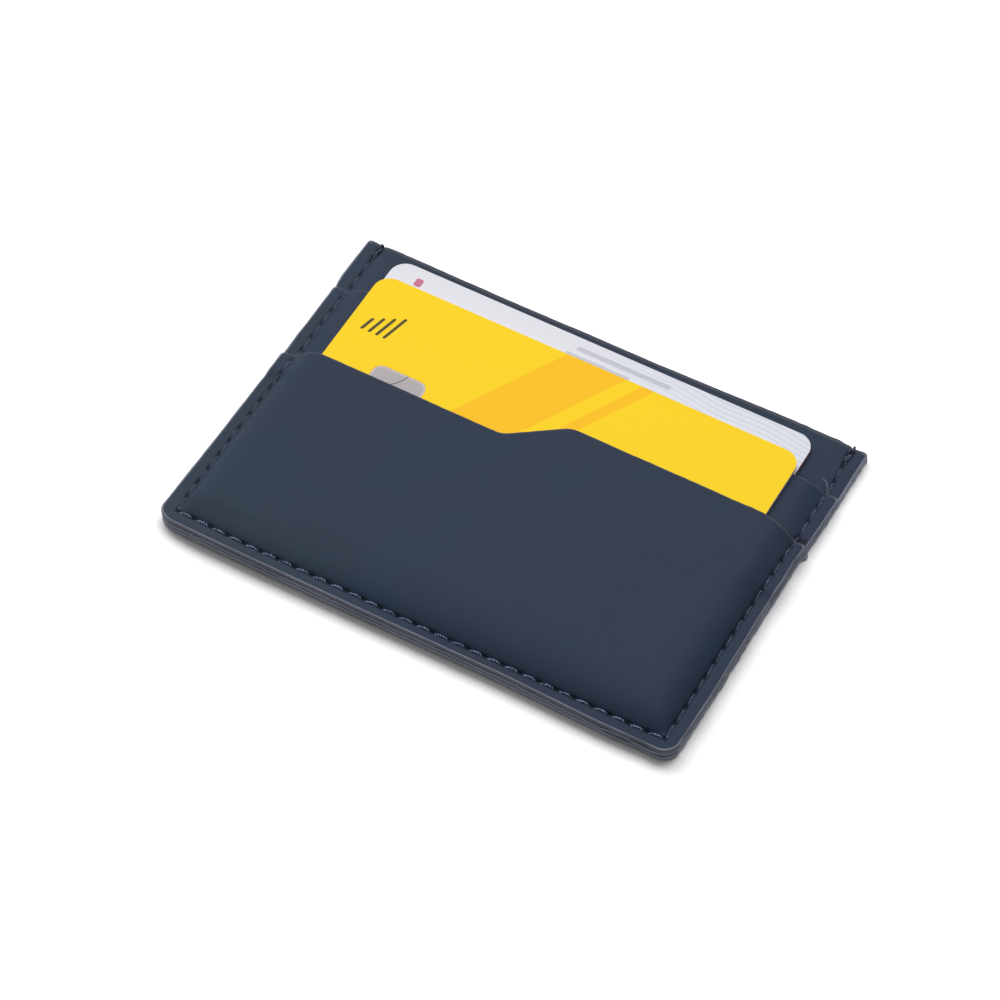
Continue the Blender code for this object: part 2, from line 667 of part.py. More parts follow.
def build_bank_card(print_front, print_back, copper, gold, resin):
    """Front card: two bonded sheets with an antenna between them and a chip let in."""
    frame = card_frame("bank_card_slide", BANK_CARD_TOP_Y, BANK_CARD_LEVEL)
    middle = (CARDS_X, BANK_CARD_TOP_Y - CARD_HEIGHT / 2)
    card = Plan(rectangle(*middle, CARD_WIDTH, CARD_HEIGHT, CARD_CORNER_RADIUS))
    top = BANK_CARD_LEVEL + CARD_THICKNESS
    bond = top - CARD_FRONT_SHEET
    seat = top - PLATE_THICKNESS
    placing = {"origin": frame.location, "parent": frame}
    front = sheet("bank_card", card, level(bond), level(top), print_front, **placing)
    sheet("bank_card_back_sheet", card, level(BANK_CARD_LEVEL), level(bond), print_back, **placing)

    chip_x = CARDS_X - CARD_WIDTH / 2 + PLATE_CENTRE_FROM_LEFT
    chip_y = BANK_CARD_TOP_Y - PLATE_TOP_FROM_TOP - PLATE_HEIGHT / 2
    plate = (PLATE_WIDTH, PLATE_HEIGHT, PLATE_CORNER_RADIUS)
    recess = (PLATE_WIDTH + 2 * PLATE_GAP, PLATE_HEIGHT + 2 * PLATE_GAP, PLATE_CORNER_RADIUS + PLATE_GAP)
    well = (MODULE_WIDTH + 2 * MODULE_ROOM, MODULE_HEIGHT + 2 * MODULE_ROOM, MODULE_CORNER_RADIUS)
    module = (MODULE_WIDTH, MODULE_HEIGHT, MODULE_CORNER_RADIUS)
    cut(front, cutter("chip_recess", rectangle(chip_x, chip_y, *recess), seat, top + OVERRUN, frame))
    cut(front, cutter("chip_well", rectangle(chip_x, chip_y, *well), bond - OVERRUN, top, frame))
    plate_plan = Plan(rectangle(chip_x, chip_y, *plate))
    sheet("bank_card_contact_plate", plate_plan, level(seat), level(top), gold, **placing)
    module_plan = Plan(rectangle(chip_x, chip_y, *module))
    sheet("bank_card_chip", module_plan, level(seat - MODULE_THICKNESS), level(seat), resin, **placing)

    lead_end = MODULE_WIDTH / 2
    strip = antenna_strip(ANTENNA_HALF_WIDTH, lead_end)
    channel = antenna_strip(ANTENNA_HALF_WIDTH + ANTENNA_ROOM, lead_end - ANTENNA_ROOM)
    antenna_top = bond + ANTENNA_THICKNESS
    channel_top = antenna_top + ANTENNA_ROOM
    cut(front, cutter("antenna_channel", channel, bond - OVERRUN, channel_top, frame))
    sheet("bank_card_antenna", Plan(strip), level(bond), level(antenna_top), copper, **placing)


def build_id_card(print_front):
    """Rear card, one laminated sheet."""
    frame = card_frame("id_card_slide", ID_CARD_TOP_Y, ID_CARD_LEVEL)
    middle = (CARDS_X, ID_CARD_TOP_Y - CARD_HEIGHT / 2)
    card = Plan(rectangle(*middle, CARD_WIDTH, CARD_HEIGHT, CARD_CORNER_RADIUS))
    top = ID_CARD_LEVEL + CARD_THICKNESS
    placing = {"origin": frame.location, "parent": frame}
    sheet("id_card", card, level(ID_CARD_LEVEL), level(top), print_front, **placing)


for item in list(bpy.data.objects):
    bpy.data.objects.remove(item, do_unlink=True)

slate = finish("slate_synthetic_leather", (0.050, 0.063, 0.082), 0.62)
lining = finish("dark_lining_cloth", (0.022, 0.024, 0.030), 0.85)
foil = finish("nickel_shielding_foil", (0.46, 0.45, 0.43), 0.42, 0.9)
paint = finish("grey_violet_edge_paint", (0.085, 0.082, 0.115), 0.45)
thread_finish = finish("navy_thread", (0.030, 0.036, 0.072), 0.5)
yellow = finish("yellow_printed_card", (0.95, 0.60, 0.03), 0.35)
pale = finish("pale_card_back", (0.80, 0.78, 0.72), 0.4)
white = finish("white_printed_card", (0.80, 0.81, 0.86), 0.38)
copper = finish("copper_antenna", (0.72, 0.33, 0.18), 0.35, 1.0)
silver = finish("silver_contact_plate", (0.52, 0.46, 0.45), 0.3, 0.9)
resin = finish("black_chip_resin", (0.02, 0.02, 0.02), 0.4)

build_rear_panel(slate, foil, lining, paint)
build_divider(slate, lining, paint)
build_middle_pocket(slate, lining, paint)
build_front_pocket(slate, foil, lining, paint)
top_thread(thread_finish)
bobbin_thread(thread_finish)
floor_top = SEAM_LEVEL + MIDDLE_STACK + THREAD_GAP + FLOOR_THREAD_RADIUS
floor_thread("floor_top_thread", FLOOR_THREAD_RADIUS, floor_top, STITCH_ARCH, thread_finish)
floor_below = DIVIDER_BOTTOM - THREAD_GAP - FLOOR_BOBBIN_RADIUS
floor_thread("floor_bobbin_thread", FLOOR_BOBBIN_RADIUS, floor_below, -THREAD_GAP, thread_finish)
build_bank_card(yellow, pale, copper, silver, resin)
build_id_card(white)
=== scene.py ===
import math

import bmesh
import bpy
import numpy as np
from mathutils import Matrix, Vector
from mathutils.geometry import delaunay_2d_cdt


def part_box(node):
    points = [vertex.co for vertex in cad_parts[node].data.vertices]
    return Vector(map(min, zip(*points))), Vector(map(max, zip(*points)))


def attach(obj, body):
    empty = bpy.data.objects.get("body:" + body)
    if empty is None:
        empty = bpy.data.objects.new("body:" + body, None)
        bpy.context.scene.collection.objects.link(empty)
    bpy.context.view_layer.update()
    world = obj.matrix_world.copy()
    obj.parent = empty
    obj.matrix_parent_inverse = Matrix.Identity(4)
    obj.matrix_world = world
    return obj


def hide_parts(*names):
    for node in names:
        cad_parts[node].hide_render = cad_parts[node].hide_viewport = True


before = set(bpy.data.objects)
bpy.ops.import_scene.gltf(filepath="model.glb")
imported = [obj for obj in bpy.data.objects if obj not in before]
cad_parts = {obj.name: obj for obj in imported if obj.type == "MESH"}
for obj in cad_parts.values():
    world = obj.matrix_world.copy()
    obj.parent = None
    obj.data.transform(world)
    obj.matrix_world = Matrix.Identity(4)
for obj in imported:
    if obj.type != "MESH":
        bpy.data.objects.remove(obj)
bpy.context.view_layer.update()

mm = 0.001

# Studio: a white table under a pale sky, brighter at the left, and a wide lamp above and behind.
# The camera looks from the near right through a long lens. The table shows white but keeps the
# shadow.


class Wire:
    """A value in a material, which takes part in sums as a number does."""

    def __init__(self, finish, socket):
        self.finish = finish
        self.socket = socket

    def reckon(self, operation, *terms, clamp=False):
        return self.finish.node("Math", {"operation": operation, "use_clamp": clamp}, *terms)

    def __add__(self, other):
        return self.reckon("ADD", self, other)

    def __radd__(self, other):
        return self.reckon("ADD", other, self)

    def __sub__(self, other):
        return self.reckon("SUBTRACT", self, other)

    def __rsub__(self, other):
        return self.reckon("SUBTRACT", other, self)

    def __mul__(self, other):
        return self.reckon("MULTIPLY", self, other)

    def __rmul__(self, other):
        return self.reckon("MULTIPLY", other, self)

    def __truediv__(self, other):
        return self.reckon("DIVIDE", self, other)

    def __pow__(self, power):
        return self.reckon("POWER", self, power)

    def __abs__(self):
        return self.reckon("ABSOLUTE", self)

    def at_least(self, least):
        return self.reckon("MAXIMUM", self, least)

    def share(self):
        """The value held between 0 and 1."""
        return self.reckon("ADD", self, 0.0, clamp=True)

    def wave(self):
        return self.reckon("SINE", self)


class Finish:
    """A material being made, or the sky: its shader and the nodes that feed it."""

    def __init__(self, name, kept_in=bpy.data.materials, shader="Principled BSDF", **values):
        self.data = kept_in.new(name)
        self.data.use_nodes = True
        self.tree = self.data.node_tree
        self.shader = self.tree.nodes[shader]
        self.feed(**values)

    def plug(self, socket, value):
        if isinstance(value, Wire):
            self.tree.links.new(value.socket, socket)
        elif value is not None:
            socket.default_value = value

    def feed(self, **values):
        for name, value in values.items():
            self.plug(self.shader.inputs[name.replace("_", " ")], value)

    def node(self, kind, settings, *values, output=0, **named):
        """A new node's output, with its settings made first and then its sockets filled."""
        made = self.tree.nodes.new("ShaderNode" + kind)
        for name, value in settings.items():
            setattr(made, name, value)
        for socket, value in zip(made.inputs, values):
            self.plug(socket, value)
        for name, value in named.items():
            self.plug(made.inputs[name], value)
        return Wire(self, made.outputs[output])

    def mix(self, share, first, second):
        """The first colour, or the second where the share is 1."""
        other_sockets = [None] * 5
        return self.node("Mix", {"data_type": "RGBA"}, share, *other_sockets, first, second, output=2)

    def mask(self, name):
        """A value that the piece's mesh carries at each point."""
        return self.node("Attribute", {"attribute_name": name}, output="Fac")

    def place(self):
        """Position on the piece, in metres."""
        return self.node("TexCoord", {}, output="Object")

    def axes(self):
        """Position on the piece as three wires, in millimetres."""
        grown = self.node("VectorMath", {"operation": "SCALE"}, self.place(), Scale=1 / mm)
        return [self.node("SeparateXYZ", {}, grown, output=axis) for axis in "XYZ"]

    def noise(self, size, detail=2.0, rough=0.5, stretch=None):
        """Cloudy noise whose lumps are about the given size."""
        where = self.place()
        if stretch:
            where = self.node("VectorMath", {"operation": "MULTIPLY"}, where, stretch)
        return self.node("TexNoise", {}, where, Scale=1 / size, Detail=detail, Roughness=rough)

    def bumped(self, height, distance, strength):
        return self.node("Bump", {}, Height=height, Distance=distance, Strength=strength)


def shade(code):
    """Colour from its six-figure code."""
    linear = []
    for at in (0, 2, 4):
        part = int(code[at:at + 2], 16) / 255
        linear.append((part + 0.055) ** 2.4 / 1.055 ** 2.4 if part > 0.04045 else part / 12.92)
    return (*linear, 1.0)


def put(name, data):
    """An object in the scene for a mesh, a lamp or a camera."""
    made = bpy.data.objects.new(name, data)
    bpy.context.scene.collection.objects.link(made)
    return made


view_azimuth = math.radians(29.326)
view_elevation = math.radians(53.213)
view_distance = 698.9
back = Vector((math.sin(view_azimuth), -math.cos(view_azimuth), 0)) * math.cos(view_elevation)
back.z = math.sin(view_elevation)
camera = put("camera", bpy.data.cameras.new("camera"))
camera.location = back * view_distance * mm
camera.rotation_euler = (-back).to_track_quat("-Z", "Y").to_euler()
camera.data.sensor_width = 36
camera.data.lens = 142.91
camera.data.shift_x = -0.0146
camera.data.shift_y = -0.0071
camera.data.clip_start = 10 * mm
bpy.context.scene.camera = camera
bpy.context.scene.view_settings.view_transform = "Standard"


def seen_by(finish, *kinds):
    """1 on the kinds of light path named, 0 on the others."""
    seen = 0.0
    for kind in kinds:
        seen = finish.node("LightPath", {}, output=f"Is {kind} Ray").at_least(seen)
    return seen


# The table lights the holder as pale grey would, and shows as white
table_half = 3
lit_by = (0.8, 0.8, 0.8, 1)
shown_as = (1.25, 1.25, 1.25, 1)
table = Finish("white_table", Roughness=0.9, Specular_IOR_Level=0.0)
table.feed(Base_Color=table.mix(seen_by(table, "Camera", "Glossy", "Transmission"), lit_by, shown_as))
corners = [(x * table_half, y * table_half, 0) for x, y in ((-1, -1), (1, -1), (1, 1), (-1, 1))]
plane = bpy.data.meshes.new("table")
plane.from_pydata(corners, [], [(0, 1, 2, 3)])
plane.materials.append(table.data)
floor = put("table", plane)

# The sky's light grows to the back left, and the camera sees it plain white
sky = Finish("daylight", bpy.data.worlds, "Background", Color=(1, 1, 1, 1))
bpy.context.scene.world = sky.data
heading = sky.node("TexCoord", {}, output="Generated")
to_back_left = sky.node("VectorMath", {"operation": "DOT_PRODUCT"}, heading, (-0.24, 0.28, 0), output="Value")
glow = (to_back_left + 0.34).share()
sky.feed(Strength=glow + (1 - glow) * seen_by(sky, "Camera", "Transmission"))

# The lamp's long side runs across the holder, and it is turned down to it
lamp = bpy.data.lights.new("window", "AREA")
lamp.shape = "RECTANGLE"
lamp.size = 1.6
lamp.size_y = 0.6
lamp.energy = 11.8
window = put("window", lamp)
window.location = (-0.38, 0.44, 1.0)
window.rotation_euler = Vector((0, 0.44, 1.0)).to_track_quat("Z", "Y").to_euler()

# Rear panel: the back of the holder, a cover of soft-touch synthetic leather on the shielding
# foil and lining. The seam's groove is pressed into it, and paint is brushed round its cut edge.
edge_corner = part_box("rear_edge_paint")[1]
half_width = edge_corner.x
half_height = edge_corner.y
rear_top = edge_corner.z
corner_radius = 3.0 * mm
top_corner_radius = 0.6 * mm
paint_depth = 0.35 * mm
rim_gap = 0.4 * mm
stitch_inset = 2.6 * mm
stitch_pitch = 3.5 * mm
stitch_end_inset = 1.0 * mm
rear_groove_depth = 0.38 * mm
rear_groove_width = 0.42 * mm
rear_hole_depth = 0.12 * mm
edge_drop = 0.13 * mm
edge_roll = 0.9 * mm
hole_half_width = 0.3 * mm
hole_slenderness = 2.8
body = "holder"


def ease(value):
    """From 0 to 1 with level ends."""
    value = np.clip(value, 0.0, 1.0)
    return value * value * (3.0 - 2.0 * value)


def ramp(value, start, span):
    """From 0 at a start to 1 a span further on."""
    return ease((value - start) / span)


def bell(distance, width):
    """1 at no distance, fading over a width."""
    return np.exp(-(distance / width) ** 2)


def ripple(x, y, length, seed):
    """Gentle unevenness between -1 and 1, about a length from crest to crest."""
    waves = 5
    golden_angle = 2.399
    total = 0
    for turn in range(waves):
        angle = seed + turn * golden_angle
        pace = 2 * math.pi / length * (0.7 + 0.17 * turn)
        total = total + np.sin(pace * (x * math.cos(angle) + y * math.sin(angle)) + seed * 7.1 + turn)
    return total / waves


def turned(corners):
    """Outline through corners (x, y, radius), anticlockwise, each turned by an arc."""
    arc_step = math.radians(7.5)
    nearly_straight = math.radians(89.9)
    points = []
    for index, (x, y, radius) in enumerate(corners):
        here = np.array((x, y))
        before = np.array(corners[index - 1][:2]) - here
        after = np.array(corners[(index + 1) % len(corners)][:2]) - here
        before = before / np.linalg.norm(before)
        after = after / np.linalg.norm(after)
        half = math.acos(np.clip(before @ after, -1, 1)) / 2
        if radius <= 0 or half > nearly_straight:
            points.append(here)
            continue
        centre = here + (before + after) / np.linalg.norm(before + after) * radius / math.sin(half)
        spoke = here + before * radius / math.tan(half) - centre
        turn = math.pi - 2 * half
        if before[0] * after[1] - before[1] * after[0] > 0:
            turn = -turn
        steps = max(2, round(abs(turn) / arc_step))
        for angle in np.linspace(0, turn, steps + 1):
            c, s = math.cos(angle), math.sin(angle)
            points.append(centre + np.array((c * spoke[0] - s * spoke[1], s * spoke[0] + c * spoke[1])))
    return np.array(points)


def spaced(outline, gap):
    """The same closed outline with points no further apart than a gap."""
    points = []
    for start, end in zip(outline, np.roll(outline, -1, axis=0)):
        steps = max(1, math.ceil(np.linalg.norm(end - start) / gap))
        points += [start + (end - start) * step / steps for step in range(steps)]
    return np.array(points)


def panel_outline(cut, mouth):
    """Sides and bottom cut back by a distance, under the given mouth."""
    side = half_width - cut
    low = -half_height + cut
    radius = max(corner_radius - cut, 0)
    return turned([(-side, low, radius), (side, low, radius)] + mouth(cut))


def straight_mouth(cut):
    side = half_width - cut
    return [(side, half_height - cut, top_corner_radius), (-side, half_height - cut, top_corner_radius)]


# Distances in from the edge at which a panel's surface is worked out, close together
# round the seam, and how close the points along each are, in millimetres
fine_cuts = [(0.47, 0.5), (0.62, 0.5), (0.8, 0.5), (1.05, 0.5), (1.35, 0.5), (1.65, 0.4), (1.9, 0.32)]
fine_cuts += [(2.08, 0.28), (2.22, 0.26), (2.35, 0.24), (2.48, 0.24), (2.6, 0.24), (2.72, 0.24)]
fine_cuts += [(2.85, 0.24), (2.98, 0.26), (3.14, 0.28), (3.35, 0.35), (3.65, 0.45), (4.0, 0.5)]
fine_cuts += [(4.4, 0.6), (4.85, 0.6), (5.3, 0.7), (5.8, 0.7), (6.4, 0.8), (7.1, 0.9), (8.0, 1.0)]
plain_cuts = [(1.3, 1.0), (2.2, 1.0), (2.6, 1.0), (3.0, 1.0), (4.2, 1.0), (5.4, 1.2), (6.6, 1.5), (8.0, 2.0)]


def inside(points, outline):
    """Which points lie within an outline."""
    x, y = points[:, 0], points[:, 1]
    crossings = np.zeros(len(points), int)
    for (x0, y0), (x1, y1) in zip(outline, np.roll(outline, -1, axis=0)):
        if y0 != y1:
            spans = (y0 > y) != (y1 > y)
            crossings += spans & (x < x0 + (y - y0) * (x1 - x0) / (y1 - y0))
    return crossings % 2 == 1


def tiled(shape, cuts, grid):
    """Triangles over a shape: its rim, rings inside it at the cuts, and a grid in the middle.

    Gives the points, the triangles, and which points are the rim's.
    """
    rim = spaced(shape(paint_depth), rim_gap)
    fill = [spaced(shape(cut * mm), close * mm) for cut, close in cuts]
    core = shape((cuts[-1][0] + 0.5) * mm)
    across = np.arange(core[:, 0].min(), core[:, 0].max(), grid)
    along = np.arange(core[:, 1].min(), core[:, 1].max(), grid)
    lattice = np.stack(np.meshgrid(across, along), -1).reshape(-1, 2)
    fill.append(lattice[inside(lattice, core)])
    fill = np.vstack(fill)
    fill = fill[inside(fill, rim)]
    spots = [Vector(spot) for spot in np.vstack([rim, fill])]
    ring = list(range(len(rim)))
    places, _, faces, sources, _, origins = delaunay_2d_cdt(spots, [], [ring], 0, 1e-8)
    faces = [face for face, origin in zip(faces, origins) if origin]
    used = sorted({index for face in faces for index in face})
    order = {index: count for count, index in enumerate(used)}
    first = {source: index for index, found in enumerate(sources) for source in found}
    points = np.array([places[index] for index in used])
    return points, [[order[index] for index in face] for face in faces], [order[first[i]] for i in ring]


# How far the edges and the seam run outside their straight lines, and how high the bottom
# edge stands, at heights up the sides and widths along the bottom and top, in millimetres
left_edge = ((-36, 0.65), (-30, 0.55), (-20, 0.35), (-8, 0.2), (-2, 0.18), (1.5, 0.02), (4.5, 0.1), (7, 0.0),
             (8.5, 0.08), (11, 0.15), (14, 0.05), (21, 0.1), (23.6, 0.2), (25.2, 0.5), (27, 0.6), (30, 0.52),
             (36, 0.5))
left_seam = ((-34, 0.1), (-30, 0.35), (-5, 0.3), (8, 0.1), (36, 0.15))
right_edge = ((-36, 0.12), (-28, 0.22), (-21.6, 0.3), (-15, 0.12), (-10, 0.1), (-6, -0.05), (2, -0.05),
              (4, 0.05), (8, -0.05), (13, 0.12), (19, 0.3), (30, 0.35), (36, 0.35))
right_seam = ((-34, 0.1), (-5, 0.15), (2, 0.35), (8, 0.5), (20, 0.4), (28, 0.3), (34, 0.0))
bottom_edge = ((-50, 0.0), (-35, 0.08), (-10, 0.1), (12, -0.05), (18, -0.05), (28, 0.2), (36, 0.42),
               (50, 0.3))
bottom_seam = ((-48, 0.1), (-44, 0.15), (-34, 0.45), (-12, 0.45), (-4, 0.65), (44, 0.65), (48, 0.4))
bottom_lift = ((-51, 0.0), (-49, 0.2), (-45, 0.8), (-41, 1.0), (-30, 1.0), (-10, 0.78), (10, 0.72),
               (34, 0.68), (51, 0.5))
top_edge = ((-51, 0.15), (-46, 0.05), (-30, -0.05), (-20, -0.1), (-5, 0.05), (8, 0.05), (20, 0.25),
            (28, 0.45), (36, 0.6), (45, 0.55), (48.4, 0.5), (51, 0.4))
wander_fade = 6 * mm
wing_thinning = 0.13
sewn_height = 3.2 * mm
lift_taken_up = 0.35
lean_out = 0.5


def side_inset(x):
    """Distance in from the nearer side."""
    return half_width - np.abs(x)


def read_off(line, along):
    """The value of a line above, in millimetres, at places along a side."""
    return np.interp(along / mm, *zip(*line))


def wandered(inset, along, edge, sewn):
    """How far a side's points lie outside their straight places."""
    at_edge = read_off(edge, along)
    outside = at_edge + (read_off(sewn, along) - at_edge) * ease(inset / stitch_inset)
    return outside * mm * (1 - ramp(inset, stitch_inset, wander_fade))


def settled(points):
    """The sewn holder: the sides wander a little, the layers are pressed thinner at the wings,
    and the bottom edge stands a little off the table and leans out.
    """
    x, y, z = points.T
    left = wandered(half_width + x, y, left_edge, left_seam)
    right = wandered(half_width - x, y, right_edge, right_seam)
    below = wandered(half_height + y, x, bottom_edge, bottom_seam)
    above = ramp(y, 30 * mm, 6.6 * mm) * mm * read_off(top_edge, x)
    margin = 1 - ramp(side_inset(x), 2.2 * mm, 4.5 * mm)
    wing = ramp(y, -3 * mm, 4.4 * mm) * (1 - ramp(y, 24 * mm, 8 * mm))
    z = z * (1 - wing_thinning * margin * wing)
    lift = read_off(bottom_lift, x) * mm * (1 - ramp(y, -half_height, 9 * mm))
    z = z + lift * (1 - lift_taken_up * np.clip(z / sewn_height, 0, 1))
    return np.stack([x + right - left, y + above - below - lean_out * lift, z], 1)


def piece(name, points, faces, finish, stands_for, masks=None, sharp=40):
    """One piece that rides on the holder. A mask is a value at each point for the finish."""
    mesh = bpy.data.meshes.new(name)
    mesh.from_pydata(settled(points).tolist(), [], faces)
    mesh.shade_smooth()
    mesh.set_sharp_from_angle(angle=math.radians(sharp))
    mesh.materials.append(finish.data)
    for mask, values in (masks or {}).items():
        mesh.attributes.new(mask, "FLOAT", "POINT").data.foreach_set("value", values.astype(np.float32))
    made = put(name, mesh)
    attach(made, body)
    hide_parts(*stands_for)


# The seam runs down the left side, along the bottom and up the right side
seam_x = half_width - stitch_inset
seam_low = -half_height + stitch_inset
side_seam = 2 * half_height - stitch_end_inset - stitch_inset
far_corner = side_seam + 2 * seam_x
seam_length = 2 * side_seam + 2 * seam_x
side_stitches = round(side_seam / stitch_pitch)
bottom_stitches = round(2 * seam_x / stitch_pitch)


def seam_place(travel):
    """Place on the seam at a distance along it."""
    turns = [0, side_seam, far_corner, seam_length]
    x = np.interp(travel, turns, [-seam_x, -seam_x, seam_x, seam_x])
    return x, np.interp(travel, turns, [seam_low + side_seam, seam_low, seam_low, seam_low + side_seam])


hole_travels = np.concatenate([
    np.linspace(0, side_seam, side_stitches + 1)[:-1],
    np.linspace(side_seam, far_corner, bottom_stitches + 1)[:-1],
    np.linspace(far_corner, seam_length, side_stitches + 1)])
# The tacks' own holes at each end: out from the seam and up the holder, in millimetres
tack_spots = ((-0.25, 36.1), (0.2, 35.2), (-0.3, 34.5), (0.25, 34.8), (0.1, 33.4), (-0.3, 34.2), (-0.1, 32.7))
tack_holes = [(side * (seam_x + out * mm), up * mm) for side in (-1, 1) for out, up in tack_spots]
hole_places = np.vstack([np.stack(seam_place(hole_travels), 1), tack_holes])


def off_seam(x, y):
    """Distance from the line of the seam."""
    return np.abs(np.minimum(side_inset(x), y + half_height) - stitch_inset)


def needle_holes(x, y):
    """1 in the middle of a needle hole, 0 away from it. A hole is a slot along the seam."""
    near = np.zeros(len(x))
    close = off_seam(x, y) < 4 * hole_half_width
    spots = np.stack([x[close], y[close]], 1)
    apart = (spots[:, None] - hole_places[None]) / hole_half_width
    at_bottom = (spots[:, 1] + half_height < side_inset(spots[:, 0]))[:, None]
    across = np.where(at_bottom, apart[..., 1], apart[..., 0])
    along = np.where(at_bottom, apart[..., 0], apart[..., 1])
    near[close] = np.exp(-np.hypot(across, along / hole_slenderness).min(1) ** 3)
    return near


def edge_distance(x, y):
    """Distance in from the sides and the bottom, round the lower corners."""
    side = side_inset(x)
    low = y + half_height
    from_centre = np.hypot(np.minimum(side - corner_radius, 0), np.minimum(low - corner_radius, 0))
    in_corner = (side < corner_radius) & (low < corner_radius)
    return np.where(in_corner, corner_radius - from_centre, np.minimum(side, low))


def painted_seam_shade(x, y):
    """Painted shade in the needle holes and less along the seam, weaker up the sides, most at the left."""
    at_side = (side_inset(x) < 4 * mm) & (y + half_height > 4 * mm)
    marks = np.maximum(needle_holes(x, y), 0.35 * bell(off_seam(x, y), 0.3 * mm))
    return marks * np.where(at_side, np.where(x < 0, 0.5, 0.8), 1.0)


def rolled(distance):
    """How far a panel's face drops as it rounds over to its cut edge."""
    return edge_drop * np.clip(1 - distance / edge_roll, 0, 1) ** 2


def panel(name, shape, fine_side, lower, upper, finish, stands_for, marks=painted_seam_shade):
    """A sheet between two surfaces. The side named by fine_side has the close points."""
    fine = tiled(shape, fine_cuts, 1.2 * mm)
    plain = tiled(shape, plain_cuts, 3.0 * mm)
    over, under = (fine, plain) if fine_side == "top" else (plain, fine)
    over_spots, over_faces, over_rim = over
    under_spots, under_faces, under_rim = under
    top = np.column_stack([over_spots, upper(*over_spots.T)])
    bottom = np.column_stack([under_spots, lower(*under_spots.T)])
    count = len(top)
    faces = over_faces + [[index + count for index in face[::-1]] for face in under_faces]
    ring = list(zip(over_rim, under_rim))
    for (a, c), (b, d) in zip(ring, ring[1:] + ring[:1]):
        faces.append([c + count, d + count, b, a])
    # The needle mask carries painted shade, which darkens the leather's colour
    masks = {"needle": np.concatenate([marks(*over_spots.T), marks(*under_spots.T)])}
    piece(name, np.vstack([top, bottom]), faces, finish, stands_for, masks)


def tube(rings, sides, closed):
    """Faces of a tube, capped unless it closes on itself."""
    faces = []
    for ring in range(rings if closed else rings - 1):
        here, ahead = ring * sides, (ring + 1) % rings * sides
        for side in range(sides):
            other = (side + 1) % sides
            faces.append([here + side, ahead + side, ahead + other, here + other])
    if not closed:
        faces.append(list(range(sides)))
        faces.append([(rings - 1) * sides + side for side in range(sides)][::-1])
    return faces


def bead(name, outline, low, high, finish, stands_for, uneven, closed=True, pale=(0.68, 0.25, 0.3), lip=None):
    """Rounded line of paint along a cut edge, between two heights that follow it.

    The three shares of pale paint, a painted highlight, are on its upper ridge, below that, and how much of
    both is left down the right side, where it is painted dimmer. A lip is how far the paint laps over the
    face.
    """
    # The points of its section, out and up, as shares of the paint's depth and height
    turns = np.linspace(math.pi / 2, -math.pi / 2, 13)
    outs = np.concatenate([[-0.25], np.cos(turns) ** 0.6, [-0.25]])
    ups = np.concatenate([[0.9], 0.5 + 0.5 * np.sign(turns) * np.abs(np.sin(turns)) ** 0.7, [0.1]])
    before = np.roll(outline, 1, axis=0)
    after = np.roll(outline, -1, axis=0)
    if not closed:
        before[0] = 2 * outline[0] - outline[1]
        after[-1] = 2 * outline[-1] - outline[-2]
    run = after - before
    run /= np.linalg.norm(run, axis=1)[:, None]
    out = np.stack([run[:, 1], -run[:, 0]], 1)
    x, y = outline.T
    base, top = low(x, y), high(x, y)
    spread = paint_depth * np.where(outs > 0, outs, outs * 0.3)
    reach = np.outer(1 + uneven(x, y), spread)
    z = base[:, None] + ups[None] * (top - base)[:, None]
    lap = np.zeros(len(x))
    if lip is not None:
        lap = lip(x, y)
        reach[:, 0] = -lap
        z[:, 0] = high(*(outline - out * lap[:, None]).T) + 0.01 * mm
    xy = outline[:, None] + out[:, None] * reach[..., None]
    points = np.concatenate([xy, z[..., None]], 2).reshape(-1, 3)
    at_mouth = ease((half_width - 0.5 * mm - np.abs(x)) / (0.5 * mm)) * ease((y + half_height - 2 * mm) / mm)
    upper_share, lower_share, right_share = pale
    ridge_share = lower_share + (upper_share - lower_share) * ease((ups - 0.86) / 0.1)
    ridges = np.outer(1 - (1 - right_share) * ease((x - half_width + mm) / mm), ridge_share)
    ridges *= 1 + 0.45 * ripple(x, y, 25 * mm, 9.0)[:, None]
    # The paint that laps over the face is thin and dark, with little of the painted highlight
    ridges[:, 0] = 0.25
    ridges[:, 1:3] *= np.where(lap > 0.2 * mm, 0.55, 1.0)[:, None]
    masks = {"mouth": np.repeat(at_mouth, len(outs)), "ridge": ridges.ravel()}
    piece(name, points, tube(len(x), len(outs), closed), finish, stands_for, masks)


slate = Finish("slate_leather", Specular_IOR_Level=0.2)
cloud = slate.noise(14 * mm, 3.0)
grain = slate.noise(0.32 * mm, 3.0, 0.6)
pores = slate.node("TexVoronoi", {"feature": "SMOOTH_F1"}, slate.place(), Scale=1 / (0.45 * mm))
cover = slate.mix((cloud * 2.4 - 0.7).share(), shade("1f3146"), shade("283044"))
cover = slate.mix(grain * 0.25, cover, shade("2b394d"))
# Painted light: paler towards the bottom left and down the left side, for light on the slopes there
across, along, _ = slate.axes()
painted_light_left = ((-24 - along) / 8).share() * ((4 - across) / 40).share()
painted_light_left = painted_light_left.at_least(((-43 - across) / 3.5).share() * 0.6)
cover = slate.mix(painted_light_left * 0.5, cover, shade("35414e"))
# Painted shade: the needle mask darkens the colour in the needle holes, along the seam and in the mouth's
# slot
slate.feed(
    Base_Color=slate.mix(slate.mask("needle").share(), cover, shade("080a12")),
    Roughness=0.55 + 0.10 * grain + 0.05 * cloud,
    Normal=slate.bumped(grain * 0.7 + pores * 0.3, 0.03 * mm, 0.35))

paint = Finish("grey_violet_edge_paint", Specular_IOR_Level=0.2)
streak = paint.noise(0.9 * mm, 3.0, 0.6, stretch=(0.35, 0.35, 2.5))
